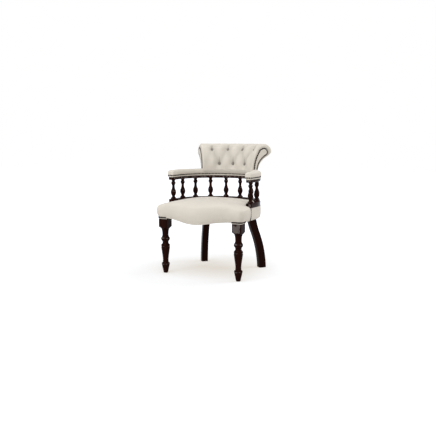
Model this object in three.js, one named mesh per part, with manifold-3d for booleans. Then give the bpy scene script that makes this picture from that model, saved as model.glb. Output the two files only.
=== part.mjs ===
// Captains chair with a buttoned scroll back, a gallery of turned spindles and a bow-front seat.
// Millimetres, +Z up, the sitter faces -Y. The floor is z = 0.

import * as THREE from 'three';
import { mergeVertices } from 'three/addons/utils/BufferGeometryUtils.js';
import Module from 'manifold-3d';

const wasm = await Module();
wasm.setup();

// Clearances
const gap = 0.3; // between pieces that touch
const overrun = 5; // how far a cutting body passes the piece that it cuts
const weld = 0.001; // points closer than this are one point

// Plan of the gallery: half a circle at the back, then a straight arm on each side
const galleryRadius = 285; // to the middle of the rails
const galleryMiddleY = -38; // the half circle's centre
const railFrontY = -122; // where the two rails end
const spindlePitch = 110.3; // along the middle of the rails
const spindleCount = 10;

// Heights of the main joints
const coverEdge = 369; // lower edge of the seat's upholstery
const frameBottom = 372;
const frameTop = 446;
const webbingThickness = 2;
const lowerRailThickness = 30;
const spindleLength = 129; // between the rails
const upperRailThickness = 18.5;

// Rails of the gallery
const railWidth = 40;
const railEdgeRadius = 5;
const railEndRadius = 14; // in plan

// Front legs
const legAheadY = -220;
const legBlock = 58; // side of the square block
const legBlockBottom = 306;
const legShoulder = 15; // height of the bevel under the block
const tenonDepth = 18;
const tenonHeight = 44;
const tenonThickness = 12;

// Back legs: each bows in an upright plane that leaves the gallery's centre at this angle
const backLegAngle = THREE.MathUtils.degToRad(40);
const backLegSplay = 86; // how far the foot stands out from the post
const backPostInset = 30; // frame's outer face to the middle of the post
const backFootDeep = 45; // in the plane of the bow
const backFootWide = 42;
const backPostDeep = 51;
const backPostWide = 45;
const backLegBevel = 3;
// The bow: shares of the height up to the frame and of the splay that has fallen away
const backLegBowShares = [
  [0, 0], [0.12, 0.035], [0.27, 0.125], [0.43, 0.27], [0.58, 0.47], [0.73, 0.71], [0.86, 0.875], [1, 1],
];

// Seat frame
const frameReach = 11; // outer faces of the frame and leg blocks, outside the rails' middle line
const frameRailThickness = 25;
const frontBow = 63; // how far the front rail bows ahead of the legs
const frontDip = 21; // how far its lower edge hangs down in the middle
const bowShare = 1.22; // powers of the cosine that shape the bow and the dip
const dipShare = 2.77;
const cornerBlockReach = 62;
const cornerBlockDrop = 14; // below the frame's top
const cornerBlockHeight = 44;

// Seat upholstery
const seatCrown = 495;
const seatCrownY = -70;
const seatEdgeHeight = 453; // height to which the dome falls at the frame
const seatSideReach = 15; // where the dome has fallen off, outside the rails' middle line
const seatBackReach = -17;
const seatFrontLength = 283; // crown to the line where the dome has fallen off in front
const seatDomeShare = 2.5; // power of the dome's fall
const seatRoll = 20; // width of the rolled edge inside the lower rail
const seatBulge = 21; // how far the cover stands out of the frame
const seatCorner = 6; // plan radius of the frame's front corners
const bandStandout = 11; // side band, outside the frame
const bandFoot = 2;
const dustCoverThickness = 1.2;
const webWide = 60;
const webSpace = 22;

// Arm pad
const padBand = 11; // upright fabric band under the nails
const padBandReach = 21;
const padReach = 24.5;
const padCrown = 37; // above the band
const padFront = 5; // past the rail's end
const padEndRadius = 12;

// Scroll back: a wooden core whose section leans out from a narrow foot to a round scroll
const backEnd = THREE.MathUtils.degToRad(45.3); // half the angle that the back spans
const coreFootReach = -8; // inner face of the foot, from the middle of the rail
const coreFoot = 21;
const scrollReach = 61.5;
const scrollRise = 164.1; // middle of the scroll above the arm rail
const scrollRadius = 25;
const scrollInnerShare = 1.36; // how far its inner half is drawn out, to the radius
const scrollPointShare = 1.25; // power that draws it out to a blunt point
const scrollEndAngle = THREE.MathUtils.degToRad(-35);
const leanShare = 2.8; // powers that bend the inner and the outer face
const flareShare = 3.4;
const facingThickness = 8;
// Padding over the core: at the foot, in front of the scroll, on it, under it, outside
const padFoot = 8;
const padInner = 22;
const padScroll = 29;
const padUnder = 17;
const padOutside = 7.5;
const padEdge = 13; // width over which the padding rounds off at each end
const padEdgeShare = 0.3;
const seamShare = 0.2; // where the padding ends, as a share of the way down the outer face
const panelEndShare = 0.84; // where the panel below it ends, inside the arm pad

// Buttons
const buttonPitch = THREE.MathUtils.degToRad(20.6);
const buttonLowShare = 0.49; // height of the low row, foot to scroll
const buttonHighAngle = THREE.MathUtils.degToRad(149); // place on the scroll
const buttonRadius = 8.5;
const buttonThickness = 6;
const tuftFloor = 4; // padding left under a button
const tuftWell = 24;
const pleatWidth = 11;
const pleatShare = 0.45; // depth of a pleat, to that of a button
const scrollPleatShare = 0.1; // the same where it crosses the scroll

// Heights that follow
const legHalf = legBlock / 2;
const webbingBottom = frameTop + gap;
const webbingTop = webbingBottom + webbingThickness;
const lowerRailBottom = webbingTop + gap;
const lowerRailTop = lowerRailBottom + lowerRailThickness;
const upperRailBottom = lowerRailTop + spindleLength;
const upperRailTop = upperRailBottom + upperRailThickness;
const padBottom = upperRailTop + gap;
const scrollHeight = padBottom + scrollRise;

// Places in plan that follow
const legSpread = galleryRadius + frameReach - legHalf; // middle plane to leg axis
const backPostRadius = galleryRadius + frameReach - backPostInset;
const backFootRadius = backPostRadius + backLegSplay; // gallery centre to foot centre
const seatHalfWidth = galleryRadius + seatSideReach;
const seatBackLength = galleryMiddleY - seatCrownY + galleryRadius + seatBackReach;
const legFrontY = legAheadY - legHalf;
const legBackY = legAheadY + legHalf;
const legInnerX = legSpread - legHalf;

// Colours and finishes
const finish = (color, roughness, metalness = 0) =>
  new THREE.MeshStandardMaterial({ color, roughness, metalness });
const mahogany = finish(0x2a0e09, 0.32);
const beech = finish(0xb48a5c, 0.7);
const linen = finish(0xddd5c8, 0.9);
const cloth = finish(0x2b2a2b, 0.95);
const jute = finish(0xa58a63, 0.95);

const { lerp, clamp } = THREE.MathUtils;
const place = (x, y, z) => new THREE.Vector3(x, y, z);
const steps = (count) => Array.from({ length: count + 1 }, (_, i) => i / count);

// One body with welded points, no empty faces, and its faces pointing out.
function bodyOf(geometry) {
  for (const name of ['normal', 'uv']) geometry.deleteAttribute(name);
  const welded = mergeVertices(geometry, weld);
  const at = welded.attributes.position;
  const corner = [0, 1, 2].map(() => new THREE.Vector3());
  const index = [];
  let volume = 0;
  for (let i = 0; i < welded.index.count; i += 3) {
    const face = [0, 1, 2].map((k) => welded.index.getX(i + k));
    if (new Set(face).size < 3) continue;
    face.forEach((point, k) => corner[k].fromBufferAttribute(at, point));
    volume += corner[0].dot(corner[1].clone().cross(corner[2]));
    index.push(...face);
  }
  if (volume < 0) index.reverse();
  welded.setIndex(index);
  return welded;
}

const solidOf = (geometry) => new wasm.Manifold(new wasm.Mesh({
  numProp: 3,
  vertProperties: new Float32Array(geometry.attributes.position.array),
  triVerts: new Uint32Array(geometry.index.array),
}));

function geometryOf(solid) {
  const mesh = solid.getMesh();
  const geometry = new THREE.BufferGeometry();
  geometry.setAttribute('position', new THREE.BufferAttribute(new Float32Array(mesh.vertProperties), 3));
  geometry.setIndex([...mesh.triVerts]);
  return geometry;
}

// What is left of a body once the tools are taken out of it.
const cut = (body, ...tools) =>
  geometryOf(tools.reduce((rest, tool) => rest.subtract(solidOf(tool)), solidOf(body)));
const join = (body, ...more) =>
  geometryOf(more.reduce((whole, piece) => whole.add(solidOf(piece)), solidOf(body)));

// Faces that fill a closed ring of points, worked out in the ring's own plane.
function fillRing(ring) {
  const normal = new THREE.Vector3();
  ring.forEach((a, i) => normal.add(a.clone().cross(ring[(i + 1) % ring.length])));
  const turn = new THREE.Quaternion().setFromUnitVectors(normal.normalize(), place(0, 0, 1));
  const flat = ring.map((p) => p.clone().applyQuaternion(turn)).map((p) => new THREE.Vector2(p.x, p.y));
  return THREE.ShapeUtils.triangulateShape(flat, []);
}

// A body through a row of closed rings that hold as many points each; both ends are filled flat.
function loft(rings) {
  const across = rings[0].length;
  const index = [];
  for (let i = 0; i + 1 < rings.length; i++) {
    for (let j = 0; j < across; j++) {
      const a = i * across + j;
      const b = i * across + ((j + 1) % across);
      index.push(a, b, b + across, a, b + across, a + across);
    }
  }
  for (const face of fillRing(rings[0])) index.push(...face.reverse());
  const last = (rings.length - 1) * across;
  for (const face of fillRing(rings.at(-1))) index.push(...face.map((point) => point + last));
  return meshed(rings.flat(), index);
}

function meshed(points, index) {
  const geometry = new THREE.BufferGeometry().setFromPoints(points);
  geometry.setIndex(index);
  return bodyOf(geometry);
}

// A turned body from [radius, height] pairs that start and end on the axis.
function turned(profile, sides) {
  const points = profile.map(([radius, height]) => new THREE.Vector2(radius, height));
  return bodyOf(new THREE.LatheGeometry(points, sides).rotateX(Math.PI / 2));
}

function box(wide, deep, high, x, y, z) {
  return bodyOf(new THREE.BoxGeometry(wide, deep, high).translate(x, y, z + high / 2));
}

// A flat board between two heights from its outline in plan.
function board(outline, bottom, thickness, holes = []) {
  const shape = new THREE.Shape(outline.map(([x, y]) => new THREE.Vector2(x, y)));
  shape.holes = holes.map((hole) => new THREE.Path(hole.map(([x, y]) => new THREE.Vector2(x, y))));
  return bodyOf(new THREE.ExtrudeGeometry(shape, { depth: thickness, bevelEnabled: false })
    .translate(0, 0, bottom));
}

const moved = (geometry, x, y, z = 0) => geometry.clone().translate(x, y, z);
const mirrored = (geometry) => bodyOf(geometry.clone().scale(-1, 1, 1));

// The gallery's path: run is the length along the middle of the rails from the back's centre,
// positive on the sitter's left (+X), and reach is the distance outside that middle line. The
// half circle is drawn as flat facets, the same ones for every piece, so neighbours fit.
const facets = 36;
const quarterRun = (galleryRadius * Math.PI) / 2;
const bendRuns = steps(facets).map((share) => lerp(-quarterRun, quarterRun, share));
const facetRun = bendRuns[1] - bendRuns[0];
const runToFront = (y) => quarterRun + galleryMiddleY - y;
const runAtAngle = (angle) => angle * galleryRadius;

function onGallery(run, reach, z) {
  const bent = clamp(run, -quarterRun, quarterRun);
  const before = Math.floor(bent / facetRun) * facetRun;
  const corner = (at) => place(Math.sin(at / galleryRadius), Math.cos(at / galleryRadius), 0);
  const out = corner(before).lerp(corner(before + facetRun), (bent - before) / facetRun);
  const beyond = Math.abs(run - bent);
  return out.multiplyScalar(galleryRadius + reach).add(place(0, galleryMiddleY - beyond, z));
}

// Places along the path between two runs, with every facet's edge between them.
function runsBetween(from, to) {
  return [from, ...bendRuns.filter((run) => run > from + gap && run < to - gap), to];
}

// A section [reach, height] carried along the path.
function alongGallery(section, from, to) {
  return loft(runsBetween(from, to).map((run) => section.map(([reach, z]) => onGallery(run, reach, z))));
}

// The same with ends that round off in plan: the section narrows near each end.
function railWithRoundEnds(section, halfLength, halfWidth, endRadius) {
  const endShares = [0, 0.12, 0.4, 1];
  const ends = endShares.map((share) => halfLength - endRadius * share);
  const runs = [...ends.map((run) => -run), ...bendRuns, ...ends.reverse()];
  return loft(runs.map((run) => {
    const left = Math.min(halfLength - Math.abs(run), endRadius);
    const trim = endRadius - Math.sqrt(endRadius ** 2 - (endRadius - left) ** 2);
    const narrow = (halfWidth - trim) / halfWidth;
    return section.map(([reach, z]) => onGallery(run, reach * narrow, z));
  }));
}

// Rails

// A flat bar's section with its four long edges rounded.
function roundedSection(halfWidth, bottom, top, radius) {
  const corners = [[1, -1], [1, 1], [-1, 1], [-1, -1]];
  return corners.flatMap(([side, up], turn) => steps(2).map((share) => {
    const angle = (turn - 1 + share) * (Math.PI / 2);
    const z = up > 0 ? top - radius : bottom + radius;
    return [side * (halfWidth - radius) + radius * Math.cos(angle), z + radius * Math.sin(angle)];
  }));
}

const railHalf = railWidth / 2;
const railRun = runToFront(railFrontY);
const tenonRadius = 7;
const tenonLength = 12;
const spindleSides = 12;
const spindleOrder = Array.from({ length: spindleCount }, (_, i) => i - (spindleCount - 1) / 2);
const spindleRuns = spindleOrder.map((order) => order * spindlePitch);

// A gallery rail with a socket for each spindle's tenon.
function galleryRail(bottom, thickness, socketBottom) {
  const section = roundedSection(railHalf, bottom, bottom + thickness, railEdgeRadius);
  const rail = railWithRoundEnds(section, railRun, railHalf, railEndRadius);
  const socket = bodyOf(new THREE.CylinderGeometry(
    tenonRadius + gap, tenonRadius + gap, tenonLength + gap + overrun, spindleSides,
  ).rotateX(Math.PI / 2).translate(0, 0, (tenonLength + gap + overrun) / 2));
  return cut(rail, ...spindleRuns.map((run) => {
    const seat = onGallery(run, 0, socketBottom);
    return moved(socket, seat.x, seat.y, seat.z);
  }));
}

// Turned work

// A spindle's outline between the rails: shares of its length and of its widest radius.
const spindleRadius = 17.5;
const spindleShares = [
  [0, 1], [0.045, 0.98], [0.08, 0.68], [0.14, 0.54], [0.23, 0.8], [0.33, 0.97], [0.42, 0.89],
  [0.52, 0.62], [0.63, 0.47], [0.72, 0.5], [0.77, 0.71], [0.83, 0.79], [0.88, 0.7], [0.915, 0.54],
  [1, 0.78],
];

function spindle(run) {
  const foot = lowerRailTop + gap;
  const length = spindleLength - 2 * gap;
  const profile = [
    [0, foot - tenonLength], [tenonRadius, foot - tenonLength], [tenonRadius, foot],
    ...spindleShares.map(([up, out]) => [spindleRadius * out, foot + length * up]),
    [tenonRadius, foot + length], [tenonRadius, foot + length + tenonLength],
    [0, foot + length + tenonLength],
  ];
  const seat = onGallery(run, 0, 0);
  return moved(turned(profile, spindleSides), seat.x, seat.y);
}

// A front leg's outline below its block: shares of the turned height and of the widest radius.
// From the floor: foot, foot bulb, small bead, long taper, ring, hollow, bead, neck, flare.
const legRadius = 27.5;
const legSides = 16;
const legShares = [
  [0, 0.455], [0.031, 0.545], [0.158, 0.81], [0.21, 0.905], [0.227, 0.873], [0.241, 0.71],
  [0.261, 0.604], [0.275, 0.647], [0.292, 0.61], [0.361, 0.665], [0.56, 0.942], [0.591, 0.982],
  [0.608, 0.94], [0.632, 0.982], [0.653, 0.927], [0.677, 0.72], [0.701, 0.658], [0.725, 0.705],
  [0.746, 0.84], [0.78, 0.989], [0.804, 0.96], [0.832, 0.785], [0.866, 0.687], [0.948, 0.725],
  [0.979, 0.785], [1, 0.86],
];
const shoulderShare = 0.8; // half side of the bevel's foot, to the widest radius

// Turned below, then a bevelled shoulder and a square block up into the seat's corner.
function frontLeg() {
  const turnedTop = legBlockBottom - legShoulder;
  const foot = turned([
    [0, 0],
    ...legShares.map(([up, out]) => [legRadius * out, turnedTop * up]),
    [legRadius * legShares.at(-1)[1], turnedTop + overrun], [0, turnedTop + overrun],
  ], legSides);
  const cornerShares = [[-1, -1], [1, -1], [1, 1], [-1, 1]];
  const square = (half, z) => cornerShares.map(([x, y]) => place(x * half, y * half, z));
  const shoulder = loft([
    square(legRadius * shoulderShare, turnedTop),
    square(legHalf, legBlockBottom),
    square(legHalf, frameTop),
  ]);
  return join(shoulder, foot);
}

// The tenon of a frame rail, and with a clearance its mortise, at the middle of the frame's height.
function railTenon(x, y, alongX, grow) {
  const wide = alongX ? tenonDepth + grow : tenonThickness + 2 * grow;
  const deep = alongX ? tenonThickness + 2 * grow : tenonDepth + grow;
  const middle = (frameBottom + frameTop) / 2;
  return box(wide, deep, tenonHeight + 2 * grow, x, y, middle - tenonHeight / 2 - grow);
}

// Seat frame

// How far along the front rail's cosine a place in x lies.
const bowAt = (x) => Math.max(Math.cos(((x / legInnerX) * Math.PI) / 2), 0);
const frontY = (x) => legFrontY - frontBow * bowAt(x) ** bowShare;
const dipAt = (x) => frontDip * bowAt(x) ** dipShare;
const frontSteps = 20;
const frontPlaces = steps(frontSteps).map((share) => lerp(-1, 1, share));
const frontTenonY = legFrontY + frameRailThickness / 2;
const sideTenonX = legSpread + legHalf - frameRailThickness / 2;

// The bowed front rail, tenoned into both front legs.
function frontRail() {
  const half = legInnerX - gap;
  const rail = loft(frontPlaces.map((share) => {
    const x = share * half;
    const [outer, low] = [frontY(x), frameBottom - dipAt(x)];
    const inner = outer + frameRailThickness;
    const section = [[outer, low], [inner, low], [inner, frameTop], [outer, frameTop]];
    return section.map(([y, z]) => place(x, y, z));
  }));
  const tenons = [-1, 1].map((side) =>
    railTenon(side * (half + (tenonDepth - overrun) / 2), frontTenonY, true, 0));
  return join(rail, ...tenons);
}

// A side or back rail of the frame between two runs of the gallery's path.
function frameRail(from, to, grow = 0) {
  const [inner, outer] = [frameReach - frameRailThickness - grow, frameReach + grow];
  const [low, high] = [frameBottom - grow, frameTop + grow];
  return alongGallery([[inner, low], [outer, low], [outer, high], [inner, high]], from, to);
}

const backLegRun = runAtAngle(backLegAngle);
const sideRailEnd = runToFront(legBackY + gap);

function sideRail() {
  const rail = frameRail(backLegRun + gap, sideRailEnd);
  const tenon = railTenon(sideTenonX, legBackY - (tenonDepth - overrun) / 2, false, 0);
  return join(rail, tenon);
}

// A back leg's form, grown by a clearance: it bows from the foot in towards the seat and ends in an
// upright post.
function backLegForm(grow) {
  const out = place(Math.sin(backLegAngle), Math.cos(backLegAngle), 0);
  const side = place(Math.cos(backLegAngle), -Math.sin(backLegAngle), 0);
  const centre = place(0, galleryMiddleY, 0);
  const bow = new THREE.SplineCurve(backLegBowShares.map(([up, inward]) => new THREE.Vector2(up, inward)));
  const places = [...bow.getPoints(12), new THREE.Vector2(frameTop / frameBottom, 1)];
  const rings = places.map(({ x: up, y: inwardShare }) => {
    const z = up * frameBottom;
    const inward = backLegSplay * inwardShare;
    const half = lerp(backFootWide, backPostWide, Math.min(up, 1)) / 2 + grow;
    const deep = lerp(backFootDeep, backPostDeep, Math.min(up, 1)) / 2 + grow;
    const outerHalf = [
      [deep - backLegBevel, -half], [deep, backLegBevel - half],
      [deep, half - backLegBevel], [deep - backLegBevel, half],
    ];
    const bevelled = [...outerHalf, ...outerHalf.map(([along, aside]) => [-along, -aside])];
    return bevelled.map(([along, aside]) => centre.clone()
      .addScaledVector(out, backFootRadius - inward + along)
      .addScaledVector(side, aside)
      .setZ(z));
  });
  return loft(rings);
}

// The post is notched so that the frame's rails stand on the notch and are screwed to the post.
const backLeg = () => cut(backLegForm(0), frameRail(0, sideRailEnd, gap));

// A glued block in a front corner of the frame, fitted round the leg's inner corner.
function cornerBlock() {
  const railSide = galleryRadius + frameReach - frameRailThickness - gap;
  const [legSide, legBack] = [legInnerX - gap, legBackY + gap];
  const reach = cornerBlockReach - overrun;
  const alongFront = frontPlaces.filter((share) => share * legInnerX > legInnerX - reach)
    .map((share) => share * (legInnerX - gap))
    .map((x) => [x, frontY(x) + frameRailThickness + gap]);
  const besideLeg = [[legSide, legBack], [railSide, legBack], [railSide, legBack + cornerBlockReach]];
  const bottom = frameTop - cornerBlockDrop - cornerBlockHeight;
  return board([...alongFront, ...besideLeg], bottom, cornerBlockHeight);
}

// Points in plan round the half circle from +X to -X, at a reach.
const planAlongBend = (reach) => bendRuns.map((run) => onGallery(-run, reach, 0)).map(({ x, y }) => [x, y]);

// The outline of the frame's outer faces in plan, standing off by a distance.
function frameOutline(off) {
  const front = frontPlaces.map((share) => [share * legInnerX, frontY(share * legInnerX) - off]);
  const x = legSpread + legHalf + off;
  const back = planAlongBend(frameReach + off);
  return [[-x, legFrontY - off], ...front, [x, legFrontY - off], ...back];
}

// Crossed strips of webbing, tacked to the top of the frame and drawn as one open sheet.
function webbing() {
  const cell = webWide + webSpace;
  const space = box(webSpace, webSpace, webbingThickness + 2 * overrun, 0, 0, webbingBottom - overrun);
  const spaces = [];
  const columns = Math.floor(legInnerX / cell);
  for (let i = -columns; i <= columns; i++) {
    for (let y = legAheadY + cell / 2; y < galleryMiddleY + galleryRadius - cell; y += cell) {
      const reach = Math.hypot(i * cell, Math.max(y - galleryMiddleY, 0));
      if (reach < galleryRadius - cell) spaces.push(moved(space, i * cell, y));
    }
  }
  return cut(board(frameOutline(-frameRailThickness / 2), webbingBottom, webbingThickness), ...spaces);
}

// The cloth under the frame, cut round the legs.
function dustCover() {
  const inner = frameRailThickness + gap;
  const front = frontPlaces.map((share) => [share * legInnerX, frontY(share * legInnerX) + inner]);
  const back = planAlongBend(frameReach - frameRailThickness / 2);
  const x = legSpread + legHalf - frameRailThickness / 2;
  const outline = [...front, [x, legFrontY + inner], ...back, [-x, legFrontY + inner]];
  const blockRoom = box(legBlock + 2 * gap, legBlock + 2 * gap, frameTop, legSpread, legAheadY, 0);
  const legRooms = [blockRoom, backLegForm(gap)].flatMap((room) => [room, mirrored(room)]);
  return cut(board(outline, frameBottom - gap - dustCoverThickness, dustCoverThickness), ...legRooms);
}

// Seat upholstery

// The dome's height over a place in plan.
function domeAt(x, y) {
  const length = y < seatCrownY ? seatFrontLength : seatBackLength;
  const left = (share) => Math.max(1 - Math.abs(share) ** seatDomeShare, 0);
  return lerp(seatEdgeHeight, seatCrown, left(x / seatHalfWidth) * left((y - seatCrownY) / length));
}

// The cover's outline in plan as a list of columns. In front of the rails it follows the outer
// faces of the frame and rolls down over them; behind it stands inside the lower rail.
const seamY = railFrontY - gap;
const innerReach = -(railHalf + gap);

function seatColumns() {
  const columns = [];
  const corner = place(legSpread + legHalf - seatCorner, legFrontY + seatCorner, 0);
  const bow = (x) => {
    const slope = (frontY(x + overrun) - frontY(x - overrun)) / (2 * overrun);
    const [nx, ny] = [slope / Math.hypot(slope, 1), -1 / Math.hypot(slope, 1)];
    return { x, y: frontY(x), nx, ny, dip: dipAt(x), bulge: seatBulge };
  };
  for (const share of steps(16)) columns.push(bow(lerp(0, legInnerX + seatCorner, share)));
  for (const share of steps(3)) {
    const angle = lerp(-Math.PI / 2, 0, share);
    const [nx, ny] = [Math.cos(angle), Math.sin(angle)];
    const [x, y] = [corner.x + seatCorner * nx, corner.y + seatCorner * ny];
    columns.push({ x, y, nx, ny, dip: 0, bulge: seatBulge });
  }
  for (const share of steps(3).slice(1)) {
    const bulge = lerp(seatBulge, bandStandout + gap, share * share);
    const y = lerp(corner.y, seamY, share);
    columns.push({ x: legSpread + legHalf, y, nx: 1, ny: 0, dip: 0, bulge });
  }
  columns.push({ x: galleryRadius + innerReach, y: seamY, nx: 1, ny: 0, dip: 0, bulge: 0 });
  for (const share of steps(9)) {
    const angle = lerp(Math.PI / 2, 0, share);
    const [nx, ny] = [Math.sin(angle), Math.cos(angle)];
    const radius = galleryRadius + innerReach;
    columns.push({ x: radius * nx, y: galleryMiddleY + radius * ny, nx, ny, dip: 0, bulge: 0 });
  }
  const turnedOver = (column) => ({ ...column, x: -column.x, nx: -column.nx });
  return [...columns, ...columns.slice(1, -1).reverse().map(turnedOver)];
}

// The roll of the cover's edge: how far out, in shares of the bulge or of the inner roll, and how
// high, in shares of the height between the lower edge and the dome.
const frontRollShares = [
  [-1.2, 1], [-0.19, 0.985], [0.3, 0.95], [0.72, 0.86], [0.96, 0.68], [1, 0.49], [0.81, 0.26],
  [0.48, 0.11], [0.14, 0],
];
const backRollShares = [
  [-0.6, 1], [-0.3, 0.96], [-0.08, 0.85], [0, 0.7], [0, 0.56], [0, 0.42], [0, 0.28], [0, 0.14], [0, 0],
];
const seatRingShares = [0.36, 0.68];

function seatCushion() {
  const shoulder = frameReach - innerReach + seatRoll; // frame's outer face to the dome's flat part
  const rings = seatColumns().map(({ x, y, nx, ny, dip, bulge }) => {
    const front = bulge > 0;
    const at = (out) => [x + nx * out, y + ny * out];
    const base = at(front ? -shoulder : -seatRoll);
    const inner = seatRingShares.map((share) => [base[0] * share, lerp(seatCrownY, base[1], share)]);
    const top = [...inner, base].map(([px, py]) => place(px, py, domeAt(px, py)));
    const low = front ? coverEdge - dip : webbingTop + gap;
    const wall = (front ? frontRollShares : backRollShares).map(([out, up]) => {
      const [px, py] = at(out * (out < 0 ? (front ? seatBulge : seatRoll) : bulge));
      return place(px, py, lerp(low, domeAt(...at(Math.min(out, 0) * seatRoll)), up));
    });
    return [...top, ...wall];
  });
  const crown = place(0, seatCrownY, domeAt(0, seatCrownY));
  return cut(domed(rings, crown, place(0, seamY, webbingTop + gap)), frameCavity());
}

// The room that the frame and the webbing need inside the cover.
function frameCavity() {
  const bottom = coverEdge - frontDip - overrun;
  return board(frameOutline(gap), bottom, webbingTop + gap - bottom);
}

// A closed body from columns of points that run from a middle point on top to one underneath.
function domed(columns, top, bottom) {
  const down = columns[0].length;
  const points = [...columns.flat(), top, bottom];
  const [topPoint, bottomPoint] = [points.length - 2, points.length - 1];
  const index = [];
  columns.forEach((_, i) => {
    const a = i * down;
    const b = ((i + 1) % columns.length) * down;
    index.push(topPoint, a, b, bottomPoint, b + down - 1, a + down - 1);
    for (let j = 0; j + 1 < down; j++) index.push(a + j, a + j + 1, b + j + 1, a + j, b + j + 1, b + j);
  });
  return meshed(points, index);
}

// The upholstered band round the sides and back, under the lower rail.
function seatBand() {
  const inner = frameReach + gap;
  const top = webbingTop;
  const foot = bandFoot / bandStandout;
  const outShares = [[foot, 0], [0.6, 0.06], [0.88, 0.2], [1, 0.4], [1, 0.75], [0.93, 1]];
  const section = [
    [inner, top], [inner, coverEdge],
    ...outShares.map(([out, up]) => [inner + bandStandout * out, lerp(coverEdge, top, up)]),
  ];
  const end = runToFront(railFrontY);
  return alongGallery(section, -end, end);
}

// Arm pad: half its section, as [reach, height above the band's foot], mirrored
function padSection(grow) {
  const halfShares = [[1, 0.35], [0.94, 0.66], [0.62, 0.93]];
  const band = [[padBandReach + grow, padBottom], [padBandReach + grow, padBottom + padBand]];
  const nailLine = padBottom + padBand;
  const bulge = halfShares.map(([out, up]) => [(padReach + grow) * out, nailLine + (padCrown + grow) * up]);
  const half = [...band, ...bulge];
  const crown = [0, nailLine + padCrown + grow];
  return [...half, crown, ...half.map(([reach, z]) => [-reach, z]).reverse()];
}

function padForm(grow) {
  return railWithRoundEnds(padSection(grow), railRun + padFront + grow, padReach + grow, padEndRadius);
}

// Scroll back

// A place on the core's inner face, by its share of the height from the foot to the scroll's middle.
function innerFaceAt(up) {
  const reach = lerp(coreFootReach, scrollReach - scrollRadius * scrollInnerShare, up ** leanShare);
  return [reach, lerp(padBottom, scrollHeight, up)];
}

// A place on the scroll. Its outer half is round, and its inner half is drawn out towards the sitter.
function onScroll(angle) {
  const [out, up] = [Math.cos(angle), Math.sin(angle)];
  if (out > 0) return [scrollReach + scrollRadius * out, scrollHeight + scrollRadius * up];
  const inward = scrollRadius * scrollInnerShare * (-out) ** scrollPointShare;
  return [scrollReach - inward, scrollHeight + scrollRadius * Math.abs(up) ** scrollPointShare];
}

// The core's contour from the foot of its inner face, over the scroll, to the foot of its outer
// face: [reach, height] and the direction that points out of the wood.
function coreContour(frontSteps, scrollSteps, downShares) {
  const foot = padBottom;
  const end = onScroll(scrollEndAngle);
  const innerFace = steps(frontSteps).map(innerFaceAt);
  const scroll = steps(scrollSteps).slice(1).map((share) => onScroll(lerp(Math.PI, scrollEndAngle, share)));
  const outerFace = downShares.map((down) => [
    lerp(coreFootReach + coreFoot, end[0], (1 - down) ** flareShare), lerp(end[1], foot, down),
  ]);
  const points = [...innerFace, ...scroll, ...outerFace];
  return points.map(([reach, z], i) => {
    const [before, after] = [points[Math.max(i - 1, 0)], points[Math.min(i + 1, points.length - 1)]];
    const [dr, dz] = [after[0] - before[0], after[1] - before[1]];
    const length = Math.hypot(dr, dz);
    const zone = i <= frontSteps ? 'inner' : i <= frontSteps + scrollSteps ? 'scroll' : 'outer';
    return { reach, z, outward: [-dz / length, dr / length], zone };
  });
}

// A place at a distance outside the contour, and a line inside the wood that leads back along it.
const standOff = ({ reach, z, outward }, by) => [reach + outward[0] * by, z + outward[1] * by];
const heartOf = (contour) => contour.map((point) => standOff(point, -coreFoot / 2)).reverse();

// The padding's thickness over a place on the contour.
function paddingAt({ reach, z, zone }) {
  const rise = (z - padBottom) / (scrollHeight - padBottom);
  if (zone === 'inner') return lerp(padFoot, padInner, Math.sqrt(rise));
  const low = scrollHeight + scrollRadius * Math.sin(scrollEndAngle);
  if (zone === 'scroll') {
    if (reach < scrollReach) return lerp(padInner, padScroll, (z - scrollHeight) / scrollRadius);
    return z > scrollHeight ? padScroll : lerp(padUnder, padScroll, (z - low) / (scrollHeight - low));
  }
  return lerp(padOutside, padUnder, Math.max((z - padBottom) / (low - padBottom), 0) ** 2);
}

// The core's form, grown by a clearance, between two angles.
function coreForm(from, to, grow, drop = 0) {
  const section = coreContour(6, 6, steps(4).slice(1)).map((point) => standOff(point, grow));
  if (drop) section.push([section.at(-1)[0], padBottom - drop], [section[0][0], padBottom - drop]);
  return alongGallery(section, runAtAngle(from), runAtAngle(to));
}

// Buttons: three in the low row and four in the high row, set between each other
const fineSteps = 100;
const fineContour = coreContour(fineSteps, fineSteps, [1]);
const lowPlaceIndex = Math.round(buttonLowShare * fineSteps);
const lowPlace = fineContour[lowPlaceIndex];
const highShare = (Math.PI - buttonHighAngle) / (Math.PI - scrollEndAngle);
const highPlaceIndex = fineSteps + Math.round(highShare * fineSteps);
const highPlace = fineContour[highPlaceIndex];
const buttons = [
  ...[-1, 0, 1].map((i) => ({ angle: i * buttonPitch, on: lowPlace, name: 'low' })),
  ...[-1.5, -0.5, 0.5, 1.5].map((i) => ({ angle: i * buttonPitch, on: highPlace, name: 'high' })),
];

// A body made along +Z, stood on the core's contour at an angle, its +Z out of the padding.
function onBack(geometry, angle, { reach, z, outward }, lift) {
  const seat = onGallery(runAtAngle(angle), reach + outward[0] * lift, z + outward[1] * lift);
  const direction = place(outward[0] * Math.sin(angle), outward[0] * Math.cos(angle), outward[1]);
  const turn = new THREE.Quaternion().setFromUnitVectors(place(0, 0, 1), direction.normalize());
  return geometry.clone().applyQuaternion(turn).translate(seat.x, seat.y, seat.z);
}

const buttonSides = 10;

function button({ angle, on }) {
  const domeShares = [[1, 0.2], [0.86, 0.62], [0.5, 0.92]];
  const dome = turned([
    [0, 0], [buttonRadius * 0.9, 0],
    ...domeShares.map(([out, up]) => [buttonRadius * out, buttonThickness * up]),
    [0, buttonThickness],
  ], buttonSides);
  return onBack(dome, angle, on, tuftFloor + gap);
}

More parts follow.
